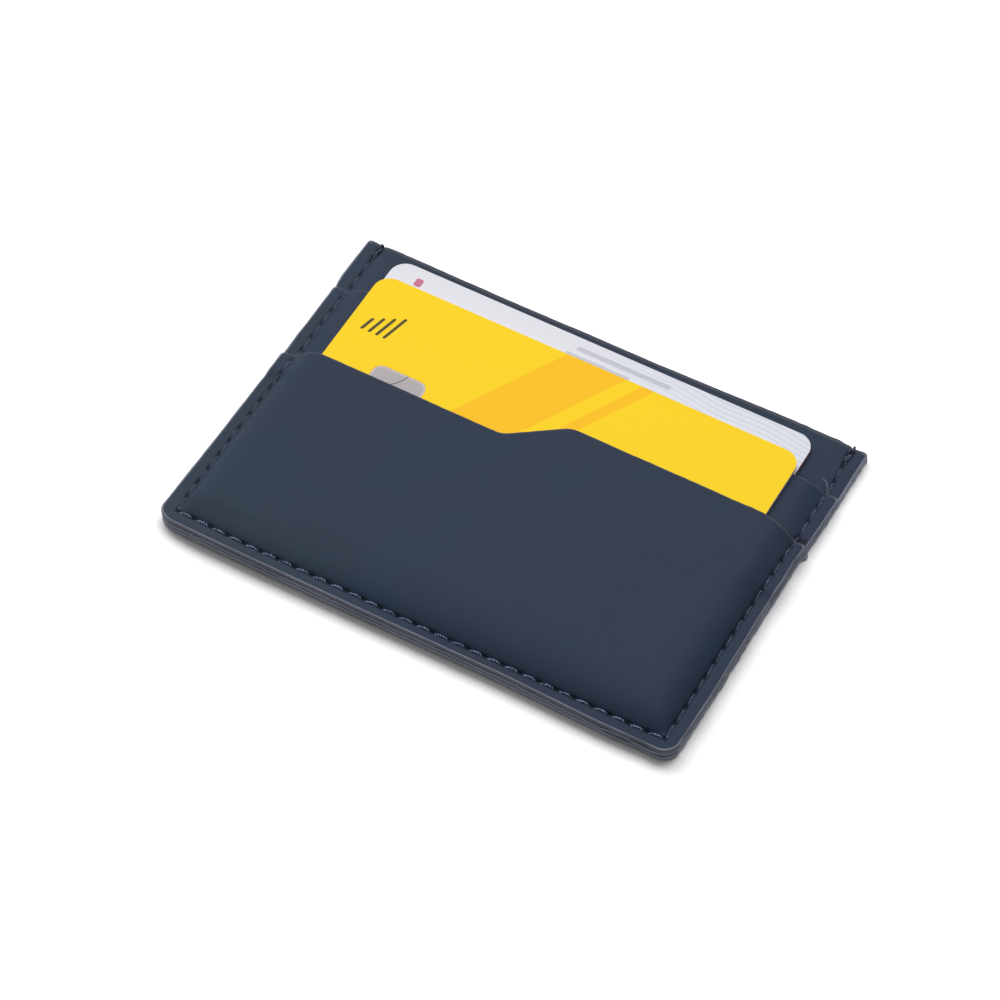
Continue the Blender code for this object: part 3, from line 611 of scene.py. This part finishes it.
# Painted highlight: the ridge mask makes the paint paler on its upper ridge and dimmer down the right side,
# with brush streaks
painted_highlight_share = (paint.mask("ridge") * 0.75 + streak * 0.25).share()
paint_with_highlight = paint.mix(painted_highlight_share, shade("373d4c"), shade("8b8f9f"))
paint.feed(
    Base_Color=paint.mix(paint.mask("mouth") * 0.85, paint_with_highlight, shade("303745")),
    Roughness=0.3 + 0.2 * streak,
    Normal=paint.bumped(paint.noise(0.5 * mm, 2.0), 0.05 * mm, 0.35))


def rear_shape(cut):
    return panel_outline(cut, straight_mouth)


def rear_face(x, y):
    """The flat face behind, rounded at its edge, with the seam's groove pressed into it."""
    round_over = rolled(np.minimum(edge_distance(x, y), half_height - y))
    groove = rear_groove_depth * bell(off_seam(x, y), rear_groove_width)
    return round_over + groove + rear_hole_depth * needle_holes(x, y)


def flat(height):
    return lambda x, y: np.full(len(x), height)


def brushed(seed, amount):
    """Uneven thickness of the paint, stronger along the near right."""
    def uneven(x, y):
        place = 0.5 + 1.1 * ramp(x, 25 * mm, 25 * mm)
        return place * amount * (ripple(x, y, 8 * mm, seed) + 0.7 * ripple(x, y, 2.6 * mm, seed + 3))
    return uneven


def rear_bead(x, y):
    """The brushed paint, with a burr of it on the right side, a little above the middle."""
    burr = 1.7 * bell(y - 12.4 * mm, 0.7 * mm) * (x > 0)
    return brushed(1.0, 0.3)(x, y) + burr


cover_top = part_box("rear_cover")[1].z
panel("rear_cover_leather", rear_shape, "bottom", rear_face, flat(cover_top), slate, ["rear_cover"])
rear_rim = spaced(rear_shape(paint_depth), rim_gap)
bead("rear_paint", rear_rim, flat(0.02 * mm), flat(rear_top + 0.1 * mm), paint, ["rear_edge_paint"],
     rear_bead, pale=(1.1, 1.1, 1.0))

# Linings and foils: dark woven cloth that faces the pockets, and nickel-coated sheets in both
# outer panels that keep radio readers out. All are glued flat behind the leather.
weave_pitch = 0.4  # in millimetres, as a finish's axes are

cloth = Finish("dark_lining_cloth", Roughness=0.85)
across, along, _ = cloth.axes()
turn = 2 * math.pi / weave_pitch
weave = ((across * turn).wave() * (along * turn).wave() * 0.5 + 0.5).share()
cloth.feed(
    Base_Color=cloth.mix(weave, shade("15181f"), shade("2b303b")),
    Normal=cloth.bumped(weave, 0.05 * mm, 0.6))

foil = Finish("nickel_shielding_foil", Metallic=0.9)
crinkle = foil.noise(1.5 * mm, 4.0, 0.6)
foil.feed(
    Base_Color=foil.mix(crinkle, shade("9c9a96"), shade("c4c1bb")),
    Roughness=0.3 + 0.25 * crinkle,
    Normal=foil.bumped(crinkle, 0.1 * mm, 0.5))


def small_faces(mesh, gap):
    """Points and triangles of a mesh, cut until hardly a side is longer than a gap."""
    cut = bmesh.new()
    cut.from_mesh(mesh)
    for _ in range(7):
        sides = [side for side in cut.edges if side.calc_length() > gap]
        bmesh.ops.subdivide_edges(cut, edges=sides, cuts=1)
        bmesh.ops.triangulate(cut, faces=list(cut.faces))
    cut.verts.index_update()
    faces = [[spot.index for spot in face.verts] for face in cut.faces]
    return np.array([spot.co for spot in cut.verts]), faces


for name, finish in (("rear_lining", cloth), ("rear_shield_foil", foil), ("divider_lining", cloth),
                     ("middle_pocket_lining", cloth), ("front_pocket_lining", cloth),
                     ("front_shield_foil", foil)):
    points, faces = small_faces(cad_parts[name].data, 3 * mm)
    piece(name + "_sheet", points, faces, finish, [name])

# Divider: the middle panel, of the same synthetic leather with a lining glued at its back. It
# closes the centre pocket in front and carries both card pockets.
divider_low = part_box("divider_edge_paint")[0].z
divider_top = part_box("divider")[1].z
divider_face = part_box("divider")[0].z
paint_proud = 0.02 * mm
seam_depth = 0.18 * mm
seam_width = 0.38 * mm
sag_depth = 0.03 * mm
sag_width = 1.2 * mm
hole_depth = 0.24 * mm
wrap_pull = 0.28 * mm
wrap_width = 1.8 * mm


def pressed(x, y):
    """How far the seam pulls a panel's face down."""
    off = off_seam(x, y)
    pull = seam_depth * bell(off, seam_width) + sag_depth * bell(off, sag_width)
    return pull + hole_depth * needle_holes(x, y)


def pinched(x, y):
    """How far the thread that wraps the top edge draws the divider down."""
    return wrap_pull * bell(np.hypot(np.abs(x) - seam_x, half_height - y), wrap_width)


def divider_surface(x, y):
    edge = np.minimum(edge_distance(x, y), half_height - y)
    return divider_top - rolled(edge) - pressed(x, y) - pinched(x, y)


def divider_under(x, y):
    return divider_face - pinched(x, y)


def divider_paint_low(x, y):
    return divider_low - 0.08 * mm - pinched(x, y)


def divider_paint_high(x, y):
    return divider_surface(x, y) + paint_proud


def lapped(x, y):
    """The paint laps over the face along the top edge."""
    return mm * (0.03 + 0.5 * ease((y - half_height + 0.8 * mm) / (0.4 * mm)))


panel("divider_leather", rear_shape, "top", divider_under, divider_surface, slate, ["divider"])
bead("divider_paint", rear_rim, divider_paint_low, divider_paint_high, paint, ["divider_edge_paint"],
     brushed(2.2, 0.35), pale=(0.95, 1.0, 0.5), lip=lapped)

# Middle pocket: a T-shaped piece of the same leather. Its wings are sewn into both sides, and
# its tongue behind the front pocket makes the rear card's pocket with a floor seam of its own.
lining_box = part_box("middle_pocket_lining")
middle_low = lining_box[0].z
middle_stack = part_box("middle_pocket")[1].z - lining_box[1].z + 0.15 * mm
middle_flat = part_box("middle_pocket")[1].z - middle_stack
middle_lining = 0.21 * mm
wing_pull = 0.22 * mm
wing_pull_width = 0.45 * mm
pared_off = 0.34 * mm
slot_depth = 0.3 * mm
rise_start = stitch_inset + 0.55 * mm
side_rise = 3.85 * mm
tongue_half = 43.4 * mm
tongue_low = -24.98 * mm
wing_end = 2.0 * mm
floor_flat = -20.88 * mm
floor_ramp = 1.6 * mm
end_inset = 2.3 * mm
end_turn = 2.4 * mm
# The height of the mouth's right and left end, and how far each bends down
middle_ends = {1: (25.3 * mm, 0.1 * mm), -1: (24.6 * mm, 0.8 * mm)}


def dropped_end(side, cut, height, drop, reach=7.2 * mm):
    """A mouth's end, where it bends down to the seam. side is -1 left, 1 right."""
    outer = side * (half_width - end_inset)
    inner = side * (half_width - reach)
    corner = (side * (half_width - cut), height - drop - cut, max(0.9 * mm - cut, 0.3 * mm))
    return [corner, (outer, height - drop - cut, end_turn), (inner, height - cut, end_turn)]


def middle_half(side, cut):
    """One half of the T, from the foot of the tongue up to the mouth."""
    inner = side * (tongue_half - cut + paint_depth)
    foot = [(inner, tongue_low + cut - paint_depth, 2.5 * mm), (inner, wing_end, 2.0 * mm)]
    return foot + [(side * (half_width - cut), wing_end, 0)] + dropped_end(side, cut, *middle_ends[side])


def middle_shape(cut):
    return turned(middle_half(1, cut) + middle_half(-1, cut)[::-1])


def mouth_line(corners):
    """Height of a pocket's mouth across the holder."""
    ends = [(*corner[:2], 0) for corner in (corners[0], corners[-1])]
    line = turned(ends[:1] + corners[1:-1] + ends[1:])
    line = line[np.argsort(line[:, 0])]
    return lambda x: np.interp(x, line[:, 0], line[:, 1])


middle_mouth = mouth_line(dropped_end(1, 0, *middle_ends[1]) + dropped_end(-1, 0, *middle_ends[-1])[::-1])


def side_share(x):
    """0 in the sewn side margins, 1 over the cards."""
    part = np.clip((side_inset(x) - rise_start) / side_rise, 0, 1)
    return part * (2 - part)


def middle_underside(x, y):
    floor_share = ease((y - floor_flat + floor_ramp) / floor_ramp)
    return middle_low + side_share(x) * floor_share * (middle_flat - middle_low)


def mouth_slot(x, y):
    """1 along the open slot behind the right end of the front pocket's mouth."""
    middle = 13.72 * mm + 0.23 * np.maximum(48.5 * mm - x, 0)
    along = ramp(x, 47.2 * mm, 0.6 * mm) * (1 - ramp(x, 50.0 * mm, 0.5 * mm))
    width = 0.25 * mm + 0.2 * mm * ramp(x, 47.8 * mm, 1.2 * mm)
    return np.exp(-((y - middle) / width) ** 4) * along


def skived(x, below_mouth):
    """How much thinner a pocket is pared where the end of its mouth is sewn in."""
    margin = 1 - ramp(side_inset(x), 2.6 * mm, 3 * mm)
    return pared_off * margin * (1 - ease(below_mouth / (5 * mm)))


# Painted shade also fills the open slot behind the right end of the front pocket's mouth
def middle_painted_shade(x, y):
    return np.maximum(painted_seam_shade(x, y), mouth_slot(x, y))


def middle_surface(x, y):
    edge = np.minimum(side_inset(x), np.maximum(middle_mouth(x) - y, 0))
    side_pull = wing_pull * bell(np.abs(side_inset(x) - stitch_inset), wing_pull_width)
    dips = hole_depth * needle_holes(x, y) + slot_depth * mouth_slot(x, y)
    pared = skived(x, middle_mouth(x) - y)
    return middle_underside(x, y) + middle_stack - rolled(edge) - side_pull - dips - pared


def middle_back(x, y):
    return middle_underside(x, y) + middle_lining


def middle_paint_low(x, y):
    return middle_underside(x, y) - 0.05 * mm


def middle_paint_high(x, y):
    return middle_surface(x, y) + paint_proud


panel("middle_leather", middle_shape, "top", middle_back, middle_surface, slate, ["middle_pocket"],
      middle_painted_shade)
# Only the mouth and the wings' side edges are painted, in one run from right to left
rim = spaced(middle_shape(paint_depth), rim_gap)
painted = rim[:, 1] > middle_mouth(rim[:, 0]) - 0.5 * mm
painted |= np.abs(rim[:, 0]) > half_width - (paint_depth + 0.01 * mm)
start = next(i for i in range(len(rim)) if painted[i] and not painted[i - 1])
rim = np.roll(rim, -start, axis=0)[np.roll(painted, -start)]
bead("middle_paint", rim, middle_paint_low, middle_paint_high, paint, ["middle_edge_paint"],
     brushed(3.1, 0.35), closed=False)

# Front pocket: the outer pocket, stretched over both cards, with a mouth that steps up from
# left to right. Leather, foil and lining are glued, cut and painted like the other panels.
front_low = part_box("front_pocket_lining")[0].z
front_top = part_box("front_pocket")[1].z
front_stack = 0.90 * mm
front_lining = 0.35 * mm
thinnest_leather = 0.12 * mm
front_flat = front_top - front_stack
seam_gap = 0.22 * mm
over_wing_level = middle_low + middle_stack + seam_gap
bottom_rise = 5.37 * mm
wing_ramp_top = 1.4 * mm
wing_ramp = 3.0 * mm
swell_start = 2.75 * mm
side_swell = 7.8 * mm
bottom_swell = 9.6 * mm
mouth_right = 13.8 * mm
mouth_left = 6.6 * mm
mouth_drop = 1.15 * mm
right_end_reach = 8.8 * mm
step_right = 4.0 * mm
step_left = -6.2 * mm
step_turn = 4.0 * mm


def stepped_mouth(cut):
    step = [(step_right, mouth_right - cut, step_turn), (step_left, mouth_left - cut, step_turn)]
    right = dropped_end(1, cut, mouth_right, mouth_drop, right_end_reach)
    return right + step + dropped_end(-1, cut, mouth_left, mouth_drop)[::-1]


def front_shape(cut):
    return panel_outline(cut, stepped_mouth)


front_mouth = mouth_line(stepped_mouth(0))


def seam_level(y):
    """Height of the pocket's underside at the seam, higher where the wings lie below."""
    over_wing = ease((y - wing_ramp_top + wing_ramp) / wing_ramp)
    return front_low + over_wing * (over_wing_level - front_low)


def front_underside(x, y):
    bottom = np.clip((y + half_height - rise_start) / bottom_rise, 0, 1)
    bottom = bottom * (2 - bottom)
    return seam_level(y) + side_share(x) * bottom * (front_flat - seam_level(y))


def swell(distance, reach, steepness):
    """From 0 to 1, steep at first and level by the end."""
    return 1 - (1 - np.clip((distance - swell_start) / reach, 0, 1)) ** steepness


def front_surface(x, y):
    """The pocket's face: it swells from the seam over the cards, more steeply at the left side
    and the right of the bottom, and ripples a little.
    """
    edge = np.minimum(edge_distance(x, y), np.maximum(front_mouth(x) - y, 0))
    side = swell(side_inset(x), side_swell, 2.9 + 0.5 * np.maximum(-x, 0) / half_width)
    bottom = swell(y + half_height, bottom_swell, 2.6 + 0.5 * x / half_width)
    share = 1 - ((1 - side) ** 3 + (1 - bottom) ** 3) ** (1 / 3)
    bulge = seam_level(y) + np.maximum(share, 0) * (front_flat - seam_level(y)) + front_stack
    bulge = np.maximum(bulge, front_underside(x, y) + front_lining + thinnest_leather)
    uneven = 0.03 * mm * ripple(x, y, 17 * mm, 4.0) * side * bottom
    uneven -= 0.2 * mm * np.clip(1 - (half_width + x) / (2.4 * mm), 0, 1)
    return bulge - rolled(edge) - pressed(x, y) - skived(x, front_mouth(x) - y) + uneven


def front_back(x, y):
    over = front_surface(x, y) + pressed(x, y) - 0.6 * mm
    return np.maximum(front_underside(x, y) + front_lining, over)


def front_paint_low(x, y):
    return np.maximum(front_underside(x, y) - 0.07 * mm, front_surface(x, y) - 1.1 * mm)


def front_paint_high(x, y):
    return front_surface(x, y) + paint_proud


panel("front_leather", front_shape, "top", front_back, front_surface, slate, ["front_pocket"])
bead("front_paint", spaced(front_shape(paint_depth), rim_gap), front_paint_low, front_paint_high, paint,
     ["front_edge_paint"], brushed(5.3, 0.35))

# Seam: three-ply navy polyester thread in a lock stitch through every layer. Each stitch leans
# a little across the seam and dips into its needle holes, and the ends are sewn over twice.
thread_radius = 0.18 * mm
rear_thread_radius = 0.15 * mm
thread_lay = 1.5 * mm
thread_step = 0.1 * mm
stitch_lean = 0.18 * mm
bottom_dip = 1.2 * mm
side_dip = 0.6 * mm
rear_dip = 0.35 * mm
plies = 3

navy = Finish("navy_thread", Roughness=0.6, Specular_IOR_Level=0.25)
fibre = navy.noise(0.3 * mm, 3.0, 0.7)
# Painted glints: light blue-grey specks on the twist's crests, strongest along the bottom
painted_glints = ((navy.mask("crest") - 0.35) * 2.5).share() * (fibre * 5 - 1.8).share() * navy.mask("glint_share")
thread_with_glints = navy.mix(painted_glints * 0.85, shade("10152a"), shade("bcc6ee"))
# The frayed fibre is painted pale grey, a painted glint
navy.feed(
    Base_Color=navy.mix(navy.mask("frayed"), thread_with_glints, shade("85879a")),
    Normal=navy.bumped(fibre, 0.03 * mm, 0.6))


def strand(route, radius, sides=12):
    """Points and faces of twisted thread along a route of close points, and 1 on its crests."""
    steps = np.linalg.norm(np.diff(route, axis=0), axis=1)
    travel = np.concatenate([[0], np.cumsum(steps)])
    run = np.gradient(route, axis=0)
    run /= np.linalg.norm(run, axis=1)[:, None]
    across = np.empty_like(run)
    aside = np.cross((0.0, 0.0, 1.0), run[0])
    for index, ahead in enumerate(run):
        aside = aside - ahead * (aside @ ahead)
        aside /= np.linalg.norm(aside)
        across[index] = aside
    lift = np.cross(run, across)
    angles = 2 * math.pi * np.arange(sides) / sides
    twist = np.cos(plies * angles[None] - plies * 2 * math.pi * travel[:, None] / thread_lay)
    reach = radius * (1 + 0.16 * twist)
    points = (route[:, None] + across[:, None] * (reach * np.cos(angles))[..., None]
              + lift[:, None] * (reach * np.sin(angles))[..., None])
    return points.reshape(-1, 3), tube(len(route), sides, False), 0.5 + 0.5 * twist.ravel()


def threads(name, strands, stands_for, frayed_strands=0):
    """Strands as one piece, the last frayed and painted pale as a glint. Painted glints are strongest along
    the bottom.
    """
    points, faces, frayed, crests = np.empty((0, 3)), [], [], []
    for index, (places, loops, crest) in enumerate(strands):
        faces += [[corner + len(points) for corner in loop] for loop in loops]
        points = np.vstack([points, places])
        frayed.append(np.full(len(places), float(index >= len(strands) - frayed_strands)))
        crests.append(crest)
    masks = {"frayed": np.concatenate(frayed), "crest": np.concatenate(crests)}
    masks["glint_share"] = np.where(points[:, 1] + half_height < 3.4 * mm, 1.0, 0.4)
    piece(name, points, faces, navy, stands_for, masks, sharp=180)


def curve(keys):
    """Smooth line of close points through key points in millimetres."""
    keys = np.array(keys) * mm
    ends = np.vstack([2 * keys[0] - keys[1], keys, 2 * keys[-1] - keys[-2]])
    line = []
    for a, b, c, d in zip(ends, ends[1:], ends[2:], ends[3:]):
        steps = max(2, math.ceil(np.linalg.norm(c - b) / thread_step))
        t = np.linspace(0, 1, steps, endpoint=False)[:, None]
        bend = (c - a) * t + (2 * a - 5 * b + 4 * c - d) * t ** 2 + (3 * b - a - 3 * c + d) * t ** 3
        line.append(b + bend / 2)
    return np.vstack(line + [keys[-1:]])


def seam_top(x, y):
    """Height of whatever lies uppermost on the seam."""
    height = divider_surface(x, y)
    height = np.where(y < middle_mouth(x), middle_surface(x, y), height)
    return np.where(y < front_mouth(x), front_surface(x, y), height)


def gathered(values, reach, gather):
    """The highest or the mean of each value and its neighbours on both sides."""
    around = np.pad(values, reach, mode="edge")
    return gather([around[shift:shift + len(values)] for shift in range(2 * reach + 1)], axis=0)


travel = np.arange(0, seam_length, thread_step)
x, y = seam_place(travel)
height = seam_top(x, y) + hole_depth * needle_holes(x, y)
height = gathered(gathered(height, 4, np.max), 3, np.mean)
stitch = np.clip(np.searchsorted(hole_travels, travel, side="right") - 1, 0, len(hole_travels) - 2)
part = (travel - hole_travels[stitch]) / (hole_travels[stitch + 1] - hole_travels[stitch])
towards_hole = np.abs(2 * part - 1)
lean = stitch_lean * (2 * part - 1)
inward_x = np.where(travel < side_seam, 1.0, np.where(travel > far_corner, -1.0, 0.0))
at_bottom = inward_x == 0
dip = np.where(at_bottom, bottom_dip * towards_hole ** 2.3, side_dip * towards_hole ** 2.4)
proud = thread_radius * (0.85 * at_bottom - 0.05)
z = height + proud - dip
route = np.stack([x + lean * inward_x, y + lean * at_bottom, z], 1)
strands = [strand(route, thread_radius, 14)]
# The tacks at each end: places out from the seam, up the holder and off the table, in millimetres
over_edge = [(0.1, 35.2, 0.5), (0.05, 36.2, 0.25), (0.0, 36.65, 0.5), (0.0, 36.7, 1.4), (0.05, 36.5, 1.95),
             (0.1, 36.0, 2.08), (0.15, 35.6, 2.0), (0.15, 35.2, 1.4)]
tacks = {1: [over_edge, [(-0.2, 36.1, 1.4), (-0.3, 35.6, 2.05), (-0.35, 35.1, 2.05), (-0.3, 34.6, 1.4)],
             [(0.3, 35.0, 1.4), (0.32, 34.5, 2.05), (0.3, 34.0, 2.05), (0.1, 33.5, 1.4)],
             [(-0.3, 34.3, 1.4), (-0.3, 33.8, 2.03), (-0.2, 33.3, 2.03), (-0.1, 32.8, 1.4)]],
         -1: [[(out, up - 0.12, rise) for out, up, rise in over_edge],
              [(-0.3, 35.7, 1.4), (-0.35, 35.2, 2.03), (-0.3, 34.7, 2.03), (-0.15, 34.2, 1.4)],
              [(0.25, 34.6, 1.4), (0.3, 34.1, 2.03), (0.25, 33.6, 2.03), (0.1, 33.1, 1.4)]]}
for side in tacks:
    for tack in tacks[side]:
        keys = [(side * (seam_x / mm + out), up, rise) for out, up, rise in tack]
        strands.append(strand(curve(keys), thread_radius))
stray_fibre = [(48.3, 25.0, 2.7), (48.1, 25.6, 3.1), (47.8, 26.3, 3.25), (47.2, 27.0, 3.2),
               (46.5, 27.4, 2.95)]
strands.append(strand(curve(stray_fibre), 0.06 * mm, 6))
threads("seam_thread_front", strands, ["seam_top_thread"], frayed_strands=1)

behind = 0.2 * mm + rear_dip * towards_hole ** 2.2
rear_strand = strand(np.stack([x, y, behind], 1), rear_thread_radius, 8)
threads("seam_thread_rear", [rear_strand], ["seam_bobbin_thread"])


def finished(name, finish):
    """A solid of the frame keeps its shape and takes a finish."""
    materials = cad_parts[name].data.materials
    materials.clear()
    materials.append(finish.data)


finished("floor_top_thread", navy)
finished("floor_bobbin_thread", navy)

# Front card: a bank-size card of two bonded plastic sheets, printed yellow, with a chip under a
# contact plate let into its face and a wound antenna between the sheets. It slides in the front
# pocket.
ditch_width = 0.22  # in millimetres, as a finish's axes are
plate_low, plate_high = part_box("bank_card_contact_plate")


def bar(u, v, centre, size, radius, soft=0.06):
    """1 inside a rounded bar, in millimetres, 0 outside."""
    out_u = (abs(u - centre[0]) - (size[0] / 2 - radius)).at_least(0)
    out_v = (abs(v - centre[1]) - (size[1] / 2 - radius)).at_least(0)
    off = (out_u * out_u + out_v * out_v) ** 0.5 - radius
    return (0.5 - off / soft).share()


def cut_side(finish):
    """1 on a card's cut sides, 0 on its faces."""
    facing = finish.node("TexCoord", {}, output="Normal")
    return (1 - abs(finish.node("SeparateXYZ", {}, facing, output="Z")) * 2).share()


def ditch(wire):
    """1 along the line where a value passes zero."""
    return (1.3 - abs(wire) * (2 / ditch_width)).share()


# The print has two slanted orange bands and four dark bars, each longer than the last
yellow = Finish("yellow_print", Roughness=0.45, Specular_IOR_Level=0.12)
across, along, _ = yellow.axes()
slant = across - 0.55 * along
wide = bar(slant, along, (-15.0, 0), (12.0, 90.0), 0.1)
narrow = bar(slant, along, (-4.5, 0), (2.4, 90.0), 0.1)
ground = yellow.mix(wide.at_least(narrow), shade("ffd612"), shade("ffc414"))
lean_across = across - 0.25 * (along - 18.5)
marks = 0.0
for index in range(4):
    centre = (-39.8 + 1.55 * index, 17.2 + 0.45 * index)
    marks = bar(lean_across, along, centre, (0.62, 3.2 + 0.9 * index), 0.31).at_least(marks)
ground = yellow.mix(marks, ground, shade("4f4a2a"))
yellow.feed(
    Base_Color=yellow.mix(cut_side(yellow), ground, shade("f3dccb")),
    Normal=yellow.bumped(yellow.noise(0.4 * mm, 2.0), 0.004 * mm, 0.4))

card_back = Finish("pale_card_back", Roughness=0.4)
card_back.feed(Base_Color=card_back.mix(card_back.noise(8 * mm), shade("e6e0d8"), shade("ddd6cc")))

# The plate is brushed, with a dull border and one bowed groove between its contacts
silver = Finish("silver_contacts", Metallic=0.3)
across, along, _ = silver.axes()
plate_x = (plate_low.x + plate_high.x) / 2 / mm
plate_y = (plate_low.y + plate_high.y) / 2 / mm
bow_x = across + 33.5
bow_y = 11.8 - plate_y - abs(along - plate_y)
groove = ditch((bow_x * bow_x + bow_y * bow_y) ** 0.5 - 6.2)
plate_size = ((plate_high.x - plate_low.x) / mm - 0.5, (plate_high.y - plate_low.y) / mm - 0.5)
inner = bar(across, along, (plate_x, plate_y), plate_size, 1.6, 0.3)
brushing = silver.noise(0.25 * mm, 2.0, stretch=(1.0, 0.2, 1.0))
contact = silver.mix(brushing, shade("8f888a"), shade("a29b9f"))
contact = silver.mix(inner, shade("b5acaf"), contact)
silver.feed(
    Base_Color=silver.mix(groove, contact, shade("453f41")),
    Roughness=0.42 + 0.15 * brushing,
    Normal=silver.bumped(1 - groove, 0.04 * mm, 0.6))

copper = Finish("copper_antenna", Metallic=1.0, Roughness=0.35)
copper.feed(Base_Color=copper.mix(copper.noise(0.8 * mm), shade("b8734f"), shade("d08c66")))
resin = Finish("black_chip_resin", Roughness=0.4)
resin.feed(Base_Color=resin.mix(resin.noise(0.5 * mm), shade("101012"), shade("1d1d20")))

for name, finish in (("bank_card", yellow), ("bank_card_back_sheet", card_back), ("bank_card_chip", resin),
                     ("bank_card_contact_plate", silver), ("bank_card_antenna", copper)):
    finished(name, finish)

# Rear card: one laminated white card of the same size, printed with pale fine lines, two grey
# bars and a small red dot. It slides in the middle pocket.
white = Finish("white_print", Roughness=0.45, Specular_IOR_Level=0.12)
across, along, _ = white.axes()
lines = ((along * 6.0 + (across * 0.33).wave() * 2.0 + across * 0.4).wave() * 0.5 + 0.5) ** 3
field = (0.5 + (across - 8.0) / 26.0).share()
ground = white.mix(lines * field * 0.5, shade("e2e2ea"), shade("b3c8e0"))
bars = bar(across, along, (4.5, 32.0), (19.0, 1.0), 0.3).at_least(
    bar(across, along, (0.0, 30.2), (13.0, 0.7), 0.3))
ground = white.mix(bars * 0.75, ground, shade("b9bbc6"))
dot = bar(across, along, (-37.6, 31.2), (1.5, 1.9), 0.45)
ground = white.mix(dot, ground, shade("c87391"))
white.feed(Base_Color=white.mix(cut_side(white), ground, shade("c98f7c")))
finished("id_card", white)
